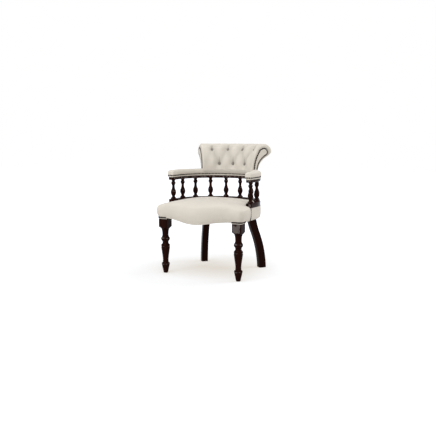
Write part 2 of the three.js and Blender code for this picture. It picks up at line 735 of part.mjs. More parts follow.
function buttonPocket({ angle, on }) {
  const high = padScroll + overrun;
  const wide = buttonRadius + gap;
  const pocket = turned([[0, 0], [wide, 0], [wide, high], [0, high]], buttonSides);
  return onBack(pocket, angle, on, tuftFloor);
}

// How deep the tufting draws the padding in at a place: 1 at a button, less along the pleats that
// join the two rows in diamonds, run down from the low row and run over the scroll from the high one.
function tuftAt(angle, point) {
  const across = (a) => a * galleryRadius;
  const p = new THREE.Vector2(across(angle), point.length);
  const low = (i) => new THREE.Vector2(across(i * buttonPitch), lowPlaceLength);
  const high = (i) => new THREE.Vector2(across(i * buttonPitch), highPlaceLength);
  const lowEnd = (i) => new THREE.Vector2(across(i * buttonPitch), 0);
  const highEnd = (i) => new THREE.Vector2(across(i * buttonPitch), contourLength);
  const fromLow = (i) => [high(i - 0.5), high(i + 0.5), lowEnd(i)].map((end) => [low(i), end, pleatShare]);
  const pleats = [
    ...[-1, 0, 1].flatMap(fromLow),
    ...[-1.5, -0.5, 0.5, 1.5].map((i) => [high(i), highEnd(i), scrollPleatShare]),
    [high(-1.5), low(-2), pleatShare], [high(1.5), low(2), pleatShare],
  ];
  const near = ([a, b]) => {
    const along = b.clone().sub(a);
    const share = clamp(p.clone().sub(a).dot(along) / along.lengthSq(), 0, 1);
    return p.distanceTo(a.clone().addScaledVector(along, share));
  };
  const pleat = Math.max(...pleats.map((line) => line[2] * Math.exp(-((near(line) / pleatWidth) ** 2))));
  const points = [...[-1, 0, 1].map(low), ...[-1.5, -0.5, 0.5, 1.5].map(high)];
  const well = Math.max(...points.map((centre) => Math.exp(-((p.distanceTo(centre) / tuftWell) ** 2))));
  return 1 - (1 - pleat) * (1 - well);
}

// The contour with the length along it from the foot of the inner face.
function withLengths(contour) {
  let length = 0;
  return contour.map((point, i) => {
    if (i) length += Math.hypot(point.reach - contour[i - 1].reach, point.z - contour[i - 1].z);
    return { ...point, length };
  });
}

const measured = withLengths(fineContour);
const lowPlaceLength = measured[lowPlaceIndex].length;
const highPlaceLength = measured[highPlaceIndex].length;
const contourLength = measured[2 * fineSteps].length;

// The buttoned padding on the inner face and round the scroll.
function backPadding() {
  const contour = withLengths(coreContour(7, 7, [seamShare / 2, seamShare, 1])).slice(0, -1);
  const heart = heartOf(contour.filter(({ zone }, i) => zone === 'inner' && i > 0 && i % 3 === 0));
  const fine = steps(24).map((share) => lerp(-2, 2, share) * buttonPitch);
  const edge = [1, 0.4, 0].map((share) => backEnd - (padEdge * share) / galleryRadius);
  const inside = fine.filter((angle) => Math.abs(angle) < edge[0] - facingAngle);
  const angles = [...edge.map((angle) => -angle).reverse(), ...inside, ...edge];
  const rings = angles.map((angle) => {
    const left = clamp(((backEnd - Math.abs(angle)) * galleryRadius) / padEdge, 0, 1);
    const round = lerp(padEdgeShare, 1, Math.sqrt(1 - (1 - left) ** 2));
    const outside = contour.map((point) => {
      const full = paddingAt(point) * round;
      const thickness = Math.max(full - tuftAt(angle, point) * (full - tuftFloor), tuftFloor);
      return standOff(point, thickness);
    });
    const section = [...outside, [scrollReach, scrollHeight], ...heart];
    return section.map(([reach, z]) => onGallery(runAtAngle(angle), reach, z));
  });
  const past = backEnd + overrun / galleryRadius;
  return cut(loft(rings), coreForm(-past, past, gap, overrun), padForm(gap), ...buttons.map(buttonPocket));
}

// The fabric panel on the outer face, from the padding's edge down to the arm pad.
function outsidePanel() {
  const seam = seamShare + gap / (scrollHeight - padBottom);
  const shares = steps(7).map((share) => lerp(seam, panelEndShare, share));
  const contour = coreContour(2, 2, [...shares, 1]).filter(({ zone }) => zone === 'outer').slice(0, -1);
  const outside = contour.map((point) => standOff(point, paddingAt(point)));
  const section = [...outside, ...heartOf(contour)];
  const past = backEnd + overrun / galleryRadius;
  const panel = alongGallery(section, runAtAngle(-backEnd), runAtAngle(backEnd));
  return cut(panel, coreForm(-past, past, gap, overrun), padForm(gap));
}

const facingAngle = (facingThickness + gap) / galleryRadius;

function facing() {
  return cut(coreForm(backEnd - facingThickness / galleryRadius, backEnd, 0), padForm(gap));
}

// The pieces, each with its name and finish
const chair = new THREE.Group();

function add(name, geometry, material) {
  const shown = geometry.clone();
  shown.computeVertexNormals();
  const mesh = new THREE.Mesh(shown, material);
  mesh.name = name;
  chair.add(mesh);
}

const rightLeg = moved(cut(
  frontLeg(),
  ...[
    railTenon(legInnerX + (tenonDepth - overrun) / 2, frontTenonY, true, gap),
    railTenon(sideTenonX, legBackY - (tenonDepth - overrun) / 2, false, gap),
  ].map((mortise) => moved(mortise, -legSpread, -legAheadY)),
), legSpread, legAheadY);
const rightBackLeg = backLeg();
const rightSideRail = sideRail();
const bowedRail = frontRail();

add('front_leg_left', rightLeg, mahogany);
add('front_leg_right', mirrored(rightLeg), mahogany);
add('back_leg_left', rightBackLeg, mahogany);
add('back_leg_right', mirrored(rightBackLeg), mahogany);
add('seat_rail_front', bowedRail, beech);
add('seat_rail_left', rightSideRail, beech);
add('seat_rail_right', mirrored(rightSideRail), beech);
add('seat_rail_back', frameRail(gap - backLegRun, backLegRun - gap), beech);
const rightBlock = cornerBlock();
add('corner_block_left', rightBlock, beech);
add('corner_block_right', mirrored(rightBlock), beech);
add('webbing', webbing(), jute);
add('dust_cover', dustCover(), cloth);
add('seat_cushion', seatCushion(), linen);
add('seat_band', seatBand(), linen);
const lowerHoleFloor = lowerRailTop - tenonLength - gap;
add('lower_rail', galleryRail(lowerRailBottom, lowerRailThickness, lowerHoleFloor), mahogany);
const upperHoleFloor = upperRailBottom - overrun;
add('upper_rail', galleryRail(upperRailBottom, upperRailThickness, upperHoleFloor), mahogany);
spindleRuns.forEach((run, i) => add(`spindle_${i + 1}`, spindle(run), mahogany));
const coreEnd = backEnd - facingAngle;
const coreRoomEnd = coreEnd + gap / galleryRadius;
const coreRoom = coreForm(-coreRoomEnd, coreRoomEnd, gap, overrun);
add('arm_pad', cut(padForm(0), coreRoom), linen);
add('back_core', coreForm(-coreEnd, coreEnd, 0), beech);
add('back_padding', backPadding(), linen);
add('back_outside_panel', outsidePanel(), linen);
const leftFacing = facing();
add('scroll_facing_left', leftFacing, linen);
add('scroll_facing_right', mirrored(leftFacing), linen);
buttons.forEach((at, i) => add(`button_${at.name}_${i + 1}`, button(at), linen));

// The origin lies on the floor under the middle of the whole chair.
const middle = new THREE.Box3().setFromObject(chair).getCenter(new THREE.Vector3());
chair.position.set(-middle.x, -middle.y, 0);
const part = new THREE.Group();
part.add(chair);

export default part;
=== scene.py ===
"""Looks of the captains chair: turned and bowed legs, a spindle gallery, a padded arm rest, a
buttoned scroll back and a domed bow-front seat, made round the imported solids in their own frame.

Lengths are metres, +Z is up and the sitter faces -Y. "Run" is the length along the middle line of
the gallery's rails from the back's centre, positive on the sitter's left (+X). "Reach" is the
distance outside that line.
"""

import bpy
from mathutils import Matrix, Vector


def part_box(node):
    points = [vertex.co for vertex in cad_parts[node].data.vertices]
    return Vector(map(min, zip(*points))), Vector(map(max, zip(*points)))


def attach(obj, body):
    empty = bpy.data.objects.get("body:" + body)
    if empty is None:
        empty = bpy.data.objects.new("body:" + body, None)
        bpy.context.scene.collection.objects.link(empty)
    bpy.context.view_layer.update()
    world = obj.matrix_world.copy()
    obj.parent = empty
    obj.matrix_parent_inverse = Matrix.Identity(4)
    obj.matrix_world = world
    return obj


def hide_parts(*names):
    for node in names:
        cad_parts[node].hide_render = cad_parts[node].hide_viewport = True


bl_info = {
    "name": "Captains Chair",
    "version": (1, 0, 0),
    "blender": (4, 5, 0),
    "location": "View3D > Sidebar > Chair",
    "description": "Captains chair with a spindle gallery and a buttoned scroll back",
    "category": "Object",
}

import math

import bmesh
import bpy
import numpy as np
from bpy.props import FloatProperty, FloatVectorProperty, IntProperty, PointerProperty
from mathutils import Vector

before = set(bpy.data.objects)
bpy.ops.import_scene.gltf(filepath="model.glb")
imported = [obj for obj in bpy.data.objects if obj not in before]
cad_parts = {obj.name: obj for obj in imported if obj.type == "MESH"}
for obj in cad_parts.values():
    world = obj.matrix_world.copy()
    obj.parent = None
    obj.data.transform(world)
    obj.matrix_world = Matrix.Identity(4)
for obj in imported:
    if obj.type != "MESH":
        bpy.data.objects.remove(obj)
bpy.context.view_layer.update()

MM = 0.001
GAP = 0.3 * MM

# ---- Sizes read from the solids, or repeated from their named values ----

RAIL_LOW, RAIL_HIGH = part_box("lower_rail")
UPPER_LOW, UPPER_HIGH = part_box("upper_rail")
LEG_LOW, LEG_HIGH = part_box("front_leg_left")
RAIL_WIDTH = 40 * MM
RADIUS = RAIL_HIGH.x - RAIL_WIDTH / 2
CENTRE_Y = RAIL_HIGH.y - RADIUS - RAIL_WIDTH / 2
QUARTER = RADIUS * math.pi / 2
RAIL_RUN = QUARTER + CENTRE_Y - RAIL_LOW.y
PAD_BOTTOM = UPPER_HIGH.z + GAP
FRAME_TOP = LEG_HIGH.z
FRAME_BOTTOM = FRAME_TOP - 74 * MM
COVER_EDGE = FRAME_BOTTOM - 3 * MM  # lower edge of the seat's cover
STUFFING_BOTTOM = RAIL_LOW.z
LEG_X = (LEG_LOW.x + LEG_HIGH.x) / 2
LEG_Y = (LEG_LOW.y + LEG_HIGH.y) / 2
LEG_HALF = (LEG_HIGH.x - LEG_LOW.x) / 2
FRAME_X = LEG_HIGH.x
FRAME_REACH = FRAME_X - RADIUS
BLOCK_BOTTOM = 306 * MM
SHOULDER = 15 * MM
BACK_END = math.radians(45.3)
CORE_FOOT_REACH = -8 * MM
CORE_FOOT = 21 * MM
SCROLL_Z = PAD_BOTTOM + 164.1 * MM
SCROLL_REACH = 61.5 * MM
SCROLL_RADIUS = 25 * MM
SCROLL_END = math.radians(-35)
BACK_RUN = BACK_END * RADIUS  # run of the scroll back's ends
SIDES = ((1, "left"), (-1, "right"))


# ---- Curves and surfaces, all worked out as whole arrays ----


def mix(a, b, share):
    """A straight blend from a to b."""
    return a + (b - a) * share


def bell(distance, width):
    """1 at no distance, falling to 0 as a Gaussian bell of this width."""
    return np.exp(-((distance / width) ** 2))


def quarter_rise(share):
    """The rise from 0 to 1 of a quarter circle over a share from 0 to 1, upright at its start."""
    return np.sqrt(1 - (1 - share) ** 2)


def stacked(*values):
    """Arrays and numbers spread to one shape and stacked as the last axis."""
    return np.stack(np.broadcast_arrays(*values), -1)


def through(points, per_span):
    """A Catmull-Rom curve through the points: each span is the cubic whose slopes at its two ends
    are half the step between the neighbours."""
    p = np.asarray(points, float)
    ends = np.vstack([2 * p[0] - p[1], p, 2 * p[-1] - p[-2]])
    a, b, c, d = ends[:-3], ends[1:-2], ends[2:-1], ends[3:]
    t = (np.arange(per_span) / per_span)[None, :, None]
    a, b, c, d = (v[:, None, :] for v in (a, b, c, d))
    curve = 2 * b + (c - a) * t + (2 * a - 5 * b + 4 * c - d) * t**2 + (3 * b - a - 3 * c + d) * t**3
    return np.vstack([0.5 * curve.reshape(-1, p.shape[1]), p[-1:]])


def turning(table, per_span):
    """A turner's outline through (height, radius) pairs: each span is the cubic whose end slopes are
    the harmonic mean of the two neighbouring slopes, or none where the outline turns back, so that
    it never overshoots a pair."""
    z, r = np.asarray(table, float).T
    rise = np.diff(r) / np.diff(z)
    inner = np.where(rise[:-1] * rise[1:] > 0, 2 * rise[:-1] * rise[1:] / (rise[:-1] + rise[1:] + 1e-12), 0)
    slope = np.concatenate([rise[:1], inner, rise[-1:]])
    t = (np.arange(per_span) / per_span)[None, :]
    z0, z1, r0, r1 = z[:-1, None], z[1:, None], r[:-1, None], r[1:, None]
    h = z1 - z0
    radius = (
        (1 + 2 * t) * (1 - t) ** 2 * r0
        + t * (1 - t) ** 2 * h * slope[:-1, None]
        + t**2 * (3 - 2 * t) * r1
        + t**2 * (t - 1) * h * slope[1:, None]
    )
    height = z0 + h * t
    return np.append(height.ravel(), z[-1]), np.append(radius.ravel(), r[-1])


def on_gallery(run, reach, z):
    """Points at a run, a reach and a height: inside the quarter circles the run is an angle about
    the gallery's centre, and beyond them the line goes straight forward."""
    run, reach, z = np.broadcast_arrays(run, reach, z)
    bend = np.clip(run, -QUARTER, QUARTER)
    angle = bend / RADIUS
    x = (RADIUS + reach) * np.sin(angle)
    y = CENTRE_Y + (RADIUS + reach) * np.cos(angle) - np.abs(run - bend)
    return stacked(x, y, z)


def lengths(points, axis):
    """The length along a row of points, summed step by step along one axis of a grid."""
    step = np.linalg.norm(np.diff(points, axis=axis), axis=-1)
    zero = np.zeros_like(np.take(step, [0], axis))
    return np.cumsum(np.concatenate([zero, step], axis), axis)


def laid(along, points):
    """Pattern coordinates of a grid: a given length along it, and the length travelled across it."""
    return stacked(along, lengths(points, 1))


def waves(points, size, height, seed):
    """A gentle unevenness: the mean of six sine waves of random direction and phase."""
    rng = np.random.default_rng(seed)
    total = 0
    for _ in range(6):
        way = rng.normal(size=3)
        way *= 2 * math.pi / (size * rng.uniform(0.7, 1.5)) / np.linalg.norm(way)
        total = total + np.sin(points @ way + rng.uniform(0, 2 * math.pi))
    return height * total / 6


def grid_faces(rows, columns, wrap):
    """Corner numbers of a grid's four-sided faces, and the same with the last row or column not
    folded back to the first, for the pattern's coordinates."""
    down = np.arange(rows if wrap[0] else rows - 1)
    right = np.arange(columns if wrap[1] else columns - 1)
    i, j = np.meshgrid(down, right, indexing="ij")
    corners = [(i, j), (i + 1, j), (i + 1, j + 1), (i, j + 1)]
    faces = np.stack([(a % rows) * columns + b % columns for a, b in corners], -1).reshape(-1, 4)
    spots = np.stack([a * (columns + 1) + b for a, b in corners], -1).reshape(-1, 4)
    return faces, spots


def closed_piece(name, points, pattern, shade=0, wrap=(False, True), sharp=40):
    """A closed body from a grid of points. Rows or columns that wrap are joined, open ends are filled
    flat, faces point outwards, and the pattern's coordinates are laid over it in metres: past the
    last column they go on by one more step, and past the last row they start again. The shade is
    painted shade on cloth, and on wood polish wear that also serves as painted highlights and reflections."""
    rows, columns = points.shape[:2]
    faces, spots = grid_faces(rows, columns, wrap)
    ends = []
    if not wrap[0]:
        ends = [list(range(columns)), list(range((rows - 1) * columns, rows * columns))]
    mesh = bpy.data.meshes.new(name)
    mesh.from_pydata(points.reshape(-1, 3).tolist(), [], faces.tolist() + ends)
    full = np.zeros((rows + 1, columns + 1, 2))
    full[:rows, :columns] = pattern
    if wrap[0]:
        full[rows] = full[0]
    if wrap[1]:
        full[:, columns] = 2 * full[:, columns - 1] - full[:, columns - 2]
    loops = np.zeros((len(mesh.loops), 2))
    loops[: spots.size] = full.reshape(-1, 2)[spots.ravel()]
    if ends:
        loops[spots.size :] = np.concatenate([full[0, :columns], full[rows - 1, :columns]])
    mesh.uv_layers.new(name="Weave").data.foreach_set("uv", loops.ravel())
    set_shade(mesh, np.broadcast_to(shade, (rows, columns)))
    return body_object(name, mesh, sharp)


def set_shade(mesh, shade):
    """Stores one number for each vertex, which the materials read as painted shade on cloth, and as polish
    wear with painted highlights on wood.
    """
    values = np.broadcast_to(np.ravel(shade), len(mesh.vertices)).astype(float)
    mesh.attributes.new("PaintedLightAndWear", "FLOAT", "POINT").data.foreach_set("value", values)


def body_object(name, mesh, sharp):
    """An object at the origin from a mesh: doubles merged, empty faces gone, normals outwards."""
    work = bmesh.new()
    work.from_mesh(mesh)
    bmesh.ops.remove_doubles(work, verts=work.verts, dist=2e-6)
    bmesh.ops.dissolve_degenerate(work, edges=work.edges, dist=1e-7)
    bmesh.ops.recalc_face_normals(work, faces=work.faces)
    work.to_mesh(mesh)
    work.free()
    mesh.polygons.foreach_set("use_smooth", np.ones(len(mesh.polygons), bool))
    mesh.set_sharp_from_angle(angle=math.radians(sharp))
    piece = bpy.data.objects.new(name, mesh)
    bpy.context.scene.collection.objects.link(piece)
    return piece


def finish_piece(piece, key, replaced=()):
    """Gives a piece its material and its body, and hides the solids it stands for."""
    piece.data.materials.clear()
    piece.data.materials.append(material_of(key))
    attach(piece, "root")
    if replaced:
        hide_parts(*replaced)


def dress(node, name, made, key, sharp, wrap=(False, True)):
    """Stands a surface, made as points, pattern and perhaps shade, in for a node's solid."""
    piece = closed_piece(name, *made, sharp=sharp, wrap=wrap)
    finish_piece(piece, key, [node])


def copies(name, template, faces, places, outward):
    """One mesh of many copies of a small shape. Each stands at its place with its own +Z along the
    outward direction and its own +X as near to upright as can be."""
    up = outward / np.linalg.norm(outward, axis=1, keepdims=True)
    side = np.array([0.0, 0.0, 1.0]) - up * up[:, 2:]
    side = side / np.linalg.norm(side, axis=1, keepdims=True)
    axes = np.stack([side, np.cross(up, side), up], 1)
    spots = places[:, None] + sum(template[None, :, k : k + 1] * axes[:, k : k + 1] for k in range(3))
    count = len(template)
    mesh = bpy.data.meshes.new(name)
    every = [[corner + k * count for corner in face] for k in range(len(places)) for face in faces]
    mesh.from_pydata(spots.reshape(-1, 3).tolist(), [], every)
    return body_object(name, mesh, 60)


def dome_template(radius, height, sides, rings):
    """A low dome on a short rim: at each ring the radius falls as a cosine and the height rises as a
    sine of the same angle."""
    angle = np.linspace(0, math.pi / 2, rings + 1)[:-1]
    out = np.concatenate([[1], np.cos(angle)]) * radius
    high = np.concatenate([[-0.35], np.sin(angle)]) * height
    turn = np.linspace(0, 2 * math.pi, sides, endpoint=False)
    ring = stacked(out[:, None] * np.cos(turn), out[:, None] * np.sin(turn), high[:, None])
    points = np.vstack([ring.reshape(-1, 3), [[0, 0, height]]])
    quads, _ = grid_faces(len(out), sides, (False, True))
    last = (len(out) - 1) * sides
    cap = [[last + k, last + (k + 1) % sides, len(points) - 1] for k in range(sides)]
    return points, quads.tolist() + cap + [list(range(sides))[::-1]]


def even_places(line, pitch):
    """Points spaced evenly along a line of points, as near to the pitch as divides it."""
    length = lengths(line, 0)
    count = max(int(round(length[-1] / pitch)), 1)
    at = np.linspace(0, length[-1], count + 1)
    return np.stack([np.interp(at, length, line[:, k]) for k in range(line.shape[1])], -1)


# ---- Materials ----


def empty_tree(owner):
    """The cleared node tree of a material or a world."""
    owner.use_nodes = True
    owner.node_tree.nodes.clear()
    return owner.node_tree


def nodes_of(name):
    """A new material with an empty tree, its output and a principled shader."""
    material = bpy.data.materials.new(name)
    tree = empty_tree(material)
    out = tree.nodes.new("ShaderNodeOutputMaterial")
    shader = tree.nodes.new("ShaderNodeBsdfPrincipled")
    tree.links.new(shader.outputs["BSDF"], out.inputs["Surface"])
    return material, tree, shader


def set_inputs(tree, node, inputs):
    """Sets a node's inputs, each to a value or to another node's output."""
    for key, value in inputs.items():
        if isinstance(value, bpy.types.NodeSocket):
            tree.links.new(value, node.inputs[key])
        else:
            node.inputs[key].default_value = value


def add_node(tree, kind, inputs=None, **settings):
    """One node with its settings and inputs."""
    node = tree.nodes.new(kind)
    for key, value in settings.items():
        setattr(node, key, value)
    set_inputs(tree, node, inputs or {})
    return node


def ramp(tree, factor, stops):
    """A colour ramp with (place, colour) stops."""
    node = add_node(tree, "ShaderNodeValToRGB", {"Fac": factor})
    elements = node.color_ramp.elements
    while len(elements) < len(stops):
        elements.new(0.5)
    for element, (place, colour) in zip(elements, stops):
        element.position = place
        element.color = (*colour, 1)
    return node.outputs["Color"]


def math_node(tree, operation, a, b, clamp=False):
    """One step of arithmetic on two values."""
    return add_node(tree, "ShaderNodeMath", {0: a, 1: b}, operation=operation, use_clamp=clamp).outputs[0]


def noise(tree, where, scale, detail=3.0, rough=0.55, stretch=(1, 1, 1)):
    """Noise over stretched coordinates."""
    spot = add_node(tree, "ShaderNodeMapping", {"Vector": where, "Scale": stretch}).outputs[0]
    inputs = {"Vector": spot, "Scale": scale, "Detail": detail, "Roughness": rough}
    return add_node(tree, "ShaderNodeTexNoise", inputs).outputs["Fac"]


def pattern_place(tree):
    """The piece's own pattern coordinates, in metres."""
    return add_node(tree, "ShaderNodeUVMap", uv_map="Weave").outputs[0]


def object_place(tree):
    """The object's coordinates, in metres."""
    return add_node(tree, "ShaderNodeTexCoord").outputs["Object"]


def shade_of(tree):
    """The piece's own painted shade on cloth, or polish wear with painted highlights on wood."""
    return add_node(tree, "ShaderNodeAttribute", attribute_name="PaintedLightAndWear").outputs["Fac"]


def ranged(tree, value, low, high):
    """A share from 0 to 1 turned into a value from low to high."""
    return add_node(tree, "ShaderNodeMapRange", {"Value": value, "To Min": low, "To Max": high}).outputs[0]


def tinted(tree, colour, share, low, high):
    """A colour made darker or lighter by a factor that runs from low to high."""
    inputs = {0: colour, "Scale": ranged(tree, share, low, high)}
    return add_node(tree, "ShaderNodeVectorMath", inputs, operation="SCALE").outputs[0]


def bumped(tree, height, strength, distance):
    """A normal tilted by a pattern of heights."""
    inputs = {"Height": height, "Strength": strength, "Distance": distance}
    return add_node(tree, "ShaderNodeBump", inputs).outputs[0]


def threads(tree, where, pitch, distortion, detail, detail_scale):
    """Two sets of wavy bands that cross, one band for each thread."""
    waves_in_a_metre = 2 * math.pi / 20
    inputs = {"Vector": where, "Scale": waves_in_a_metre / pitch, "Distortion": distortion}
    inputs |= {"Detail": detail, "Detail Scale": detail_scale}
    bands = (add_node(tree, "ShaderNodeTexWave", inputs, bands_direction=way) for way in ("X", "Y"))
    return [band.outputs["Fac"] for band in bands]


def mixed_colour(tree, factor, a, b):
    """Colour a where the factor is 0 and colour b where it is 1."""
    a, b = (tone if isinstance(tone, bpy.types.NodeSocket) else (*tone, 1) for tone in (a, b))
    return add_node(tree, "ShaderNodeMix", {0: factor, 6: a, 7: b}, data_type="RGBA").outputs[2]


def linen(name, colour, pitch):
    """Upholstery linen: crossed threads, slubs along both ways of the weave, cloudy tone and painted
    shade that darkens it where the piece's attribute says, with a soft sheen."""
    material, tree, shader = nodes_of(name)
    where = pattern_place(tree)
    weave = math_node(tree, "MAXIMUM", *threads(tree, where, pitch, 1.2, 1.0, 0.6))
    slubs = [noise(tree, where, 1.0, 2.0, 0.6, stretch) for stretch in ((35, 700, 1), (700, 35, 1))]
    slub = math_node(tree, "ADD", *slubs)
    shade = tinted(tree, colour, noise(tree, where, 9.0, 4.0), 0.95, 1.04)
    shade = tinted(tree, shade, math_node(tree, "MULTIPLY", slub, 0.5), 0.93, 1.07)
    shade = tinted(tree, shade, weave, 0.93, 1.01)
    height = math_node(tree, "ADD", math_node(tree, "MULTIPLY", weave, 0.5), slub)
    inputs = {
        # Painted shade: the piece's attribute darkens the linen in folds, creases, wells and seams
        "Base Color": tinted(tree, shade, shade_of(tree), 1.0, 0.25),
        "Roughness": 0.88,
        "Specular IOR Level": 0.2,
        "Sheen Weight": 0.18,
        "Sheen Roughness": 0.5,
        "Normal": bumped(tree, height, 0.35, 0.4 * MM),
    }
    set_inputs(tree, shader, inputs)
    return material


def mahogany(name, dark, light):
    """Dark polished mahogany: long wavy figure, fine pores and polish that varies. It turns grey where
    the piece's attribute and some patches together pass a level: polish wear, and painted highlights and
    reflections."""
    material, tree, shader = nodes_of(name)
    where = pattern_place(tree)
    along_grain = (5, 90, 1)
    patch_weight, level, steepness, wear_and_sheen_tone = 2.4, 2.05, 2.5, (0.12, 0.10, 0.093)
    figure = noise(tree, where, 1.0, 5.0, 0.6, along_grain)
    pores = noise(tree, where, 1.0, 2.0, 0.7, tuple(8 * stretch for stretch in along_grain))
    colour = ramp(tree, figure, [(0.3, dark), (0.7, light)])
    colour = tinted(tree, colour, pores, 0.75, 1.2)
    patches = math_node(tree, "MULTIPLY", noise(tree, where, 1.0, 1.0, 0.5, (60, 34, 1)), patch_weight)
    # Polish wear and painted highlights: grey where the attribute and the patches pass the level
    past = math_node(tree, "SUBTRACT", math_node(tree, "ADD", shade_of(tree), patches), level)
    grey_wear_and_sheen = math_node(tree, "MULTIPLY", past, steepness, clamp=True)
    inputs = {
        "Base Color": mixed_colour(tree, grey_wear_and_sheen, colour, wear_and_sheen_tone),
        "Roughness": ranged(tree, figure, 0.1, 0.18),
        "Specular IOR Level": 0.025,
        "Specular Tint": (1, 0.62, 0.56, 1),
        "Normal": bumped(tree, pores, 0.12, 0.2 * MM),
    }
    set_inputs(tree, shader, inputs)
    return material


def raw_beech(name):
    """Planed beech of the hidden frame: pale, with short flecks and soft rings."""
    material, tree, shader = nodes_of(name)
    where = object_place(tree)
    rings = noise(tree, where, 1.0, 3.0, 0.5, (12, 12, 45))
    flecks = noise(tree, where, 1.0, 2.0, 0.7, (260, 260, 900))
    colour = ramp(tree, rings, [(0.3, (0.36, 0.2, 0.09)), (0.7, (0.5, 0.31, 0.16))])
    inputs = {
        "Base Color": tinted(tree, colour, flecks, 0.85, 1.1),
        "Roughness": 0.7,
        "Normal": bumped(tree, flecks, 0.2, 0.2 * MM),
    }
    set_inputs(tree, shader, inputs)
    return material


def coarse_cloth(name, dark, light, pitch, rough):
    """Jute webbing, black cloth or thread: crossed threads in two tones on object coordinates."""
    material, tree, shader = nodes_of(name)
    where = object_place(tree)
    weave = math_node(tree, "MULTIPLY", *threads(tree, where, pitch, 1.5, 2.0, 0.8))
    colour = ramp(tree, weave, [(0.1, dark), (0.8, light)])
    inputs = {
        "Base Color": tinted(tree, colour, noise(tree, where, 25.0), 0.85, 1.12),
        "Roughness": rough,
        "Normal": bumped(tree, weave, 0.5, pitch * 0.4),
    }
    set_inputs(tree, shader, inputs)
    return material


def antique_metal(name, colour):
    """Bronzed upholstery nails: dark metal in random patches of darker and lighter tone and roughness."""
    material, tree, shader = nodes_of(name)
    patches = noise(tree, object_place(tree), 220.0, 4.0, 0.6)
    dark, light = (tuple(share * part for part in colour) for share in (0.55, 1.5))
    inputs = {
        "Base Color": ramp(tree, patches, [(0.35, dark), (0.7, light)]),
        "Roughness": ranged(tree, patches, 0.3, 0.5),
        "Metallic": 0.85,
    }
    set_inputs(tree, shader, inputs)
    return material


_materials = {}


def material_of(key):
    """The chair's materials, each made once from the sidebar's colours."""
    looks = bpy.context.scene.chair_finish
    makers = {
        "linen": (linen, "natural_linen", tuple(looks.linen), looks.thread_pitch),
        "mahogany": (mahogany, "dark_mahogany", tuple(looks.wood), tuple(looks.wood_figure)),
        "beech": (raw_beech, "raw_beech"),
        "jute": (coarse_cloth, "jute_webbing", (0.16, 0.09, 0.04), (0.42, 0.29, 0.15), 3.2 * MM, 0.95),
        "cloth": (
            coarse_cloth, "black_dust_cloth", (0.008, 0.008, 0.009), (0.03, 0.03, 0.032), 1.6 * MM, 0.95,
        ),
        "metal": (antique_metal, "bronzed_nails", tuple(looks.nails)),
        "thread": (coarse_cloth, "brown_thread", (0.012, 0.008, 0.006), (0.03, 0.02, 0.016), 1.2 * MM, 0.8),
    }
    if key not in _materials:
        maker, *details = makers[key]
        _materials[key] = maker(*details)
    return _materials[key]


# ---- Settings that a user would change ----


def colour_setting(name, description, default):
    """A colour in the sidebar."""
    return FloatVectorProperty(
        name=name, description=description, default=default, subtype="COLOR", size=3, min=0, max=1
    )


def length_setting(name, description, default, low, high):
    """A length in the sidebar."""
    limits = {"default": default, "min": low, "max": high}
    return FloatProperty(name=name, description=description, unit="LENGTH", **limits)


def power_setting(name, description, default):
    """A lamp's power in the sidebar."""
    return FloatProperty(name=name, description=description, default=default, min=0, unit="POWER")


def share_setting(name, description, default, low, high):
    """A plain factor in the sidebar."""
    limits = {"default": default, "min": low, "max": high}
    return FloatProperty(name=name, description=description, subtype="FACTOR", **limits)


class ChairFinish(bpy.types.PropertyGroup):
    linen: colour_setting("Linen", "Colour of the upholstery", (0.700, 0.652, 0.578))
    wood: colour_setting("Mahogany", "Ground colour of the polished wood", (0.0105, 0.0024, 0.0018))
    wood_figure: colour_setting("Figure", "Lighter figure in the polished wood", (0.022, 0.0062, 0.004))
    nails: colour_setting("Nails", "Colour of the bronzed nails", (0.016, 0.010, 0.007))
    thread_pitch: length_setting("Thread pitch", "Distance between threads", 0.0011, 0.0005, 0.004)


class ChairTrim(bpy.types.PropertyGroup):
    nail_diameter: length_setting("Nail diameter", "Nails round the arm rest", 0.0092, 0.004, 0.014)
    nail_pitch: length_setting("Nail pitch", "Nails round the arm rest", 0.0102, 0.005, 0.03)
    facing_nail_diameter: length_setting("Facing nails", "Diameter round a facing", 0.0112, 0.004, 0.012)
    stitch_pitch: length_setting("Stitch pitch", "Stitches of the side seams", 0.011, 0.003, 0.02)


class ChairTufts(bpy.types.PropertyGroup):
    button_diameter: length_setting("Button diameter", "Covered buttons of the back", 0.013, 0.01, 0.03)
    well: length_setting("Well radius", "How far the padding dips round a button", 0.013, 0.005, 0.05)
    pleat_depth: share_setting("Pleat depth", "Depth of a pleat, to that of a button", 0.55, 0, 1)
    fullness: share_setting("Fullness", "Low values swell the padding up to its pleats", 1.4, 0.2, 2)
    floor: length_setting("Floor", "Padding left under a button", 0.004, 0.001, 0.01)


class ChairDetail(bpy.types.PropertyGroup):
    turned_sides: IntProperty(
        name="Turned sides", description="Faces round a spindle", default=40, min=12, max=96
    )
    cloth_step: length_setting("Cloth step", "Distance between points on padding", 0.0022, 0.001, 0.01)


class ChairStage(bpy.types.PropertyGroup):
    lens: FloatProperty(name="Lens", description="Focal length", unit="CAMERA", default=50, min=20, max=120)
    key_power: power_setting("Overhead light", "Power of the light above", 54)
    left_power: power_setting("Left light", "Power of the light at the front left", 15)
    right_power: power_setting("Right light", "Power of the light at the right", 46)
    room_level: share_setting("Room level", "Even light from all round", 0.46, 0, 2)
    floor_tone: colour_setting("Floor", "Colour of the lit floor", (0.40, 0.475, 0.60))
    shadow_tone: colour_setting("Shadow", "Colour that the floor's shadow tends to", (0.60, 0.53, 0.42))


# ---- Wood ----


def sided_angles():
    """Directions round a square block: five at each rounded corner and thirteen along each side."""
    corner = np.radians(np.linspace(42.4, 47.6, 5))
    side = np.radians(np.linspace(47.6, 132.4, 15))[1:-1]
    return np.concatenate([np.concatenate([corner, side]) + k * math.pi / 2 for k in range(4)])


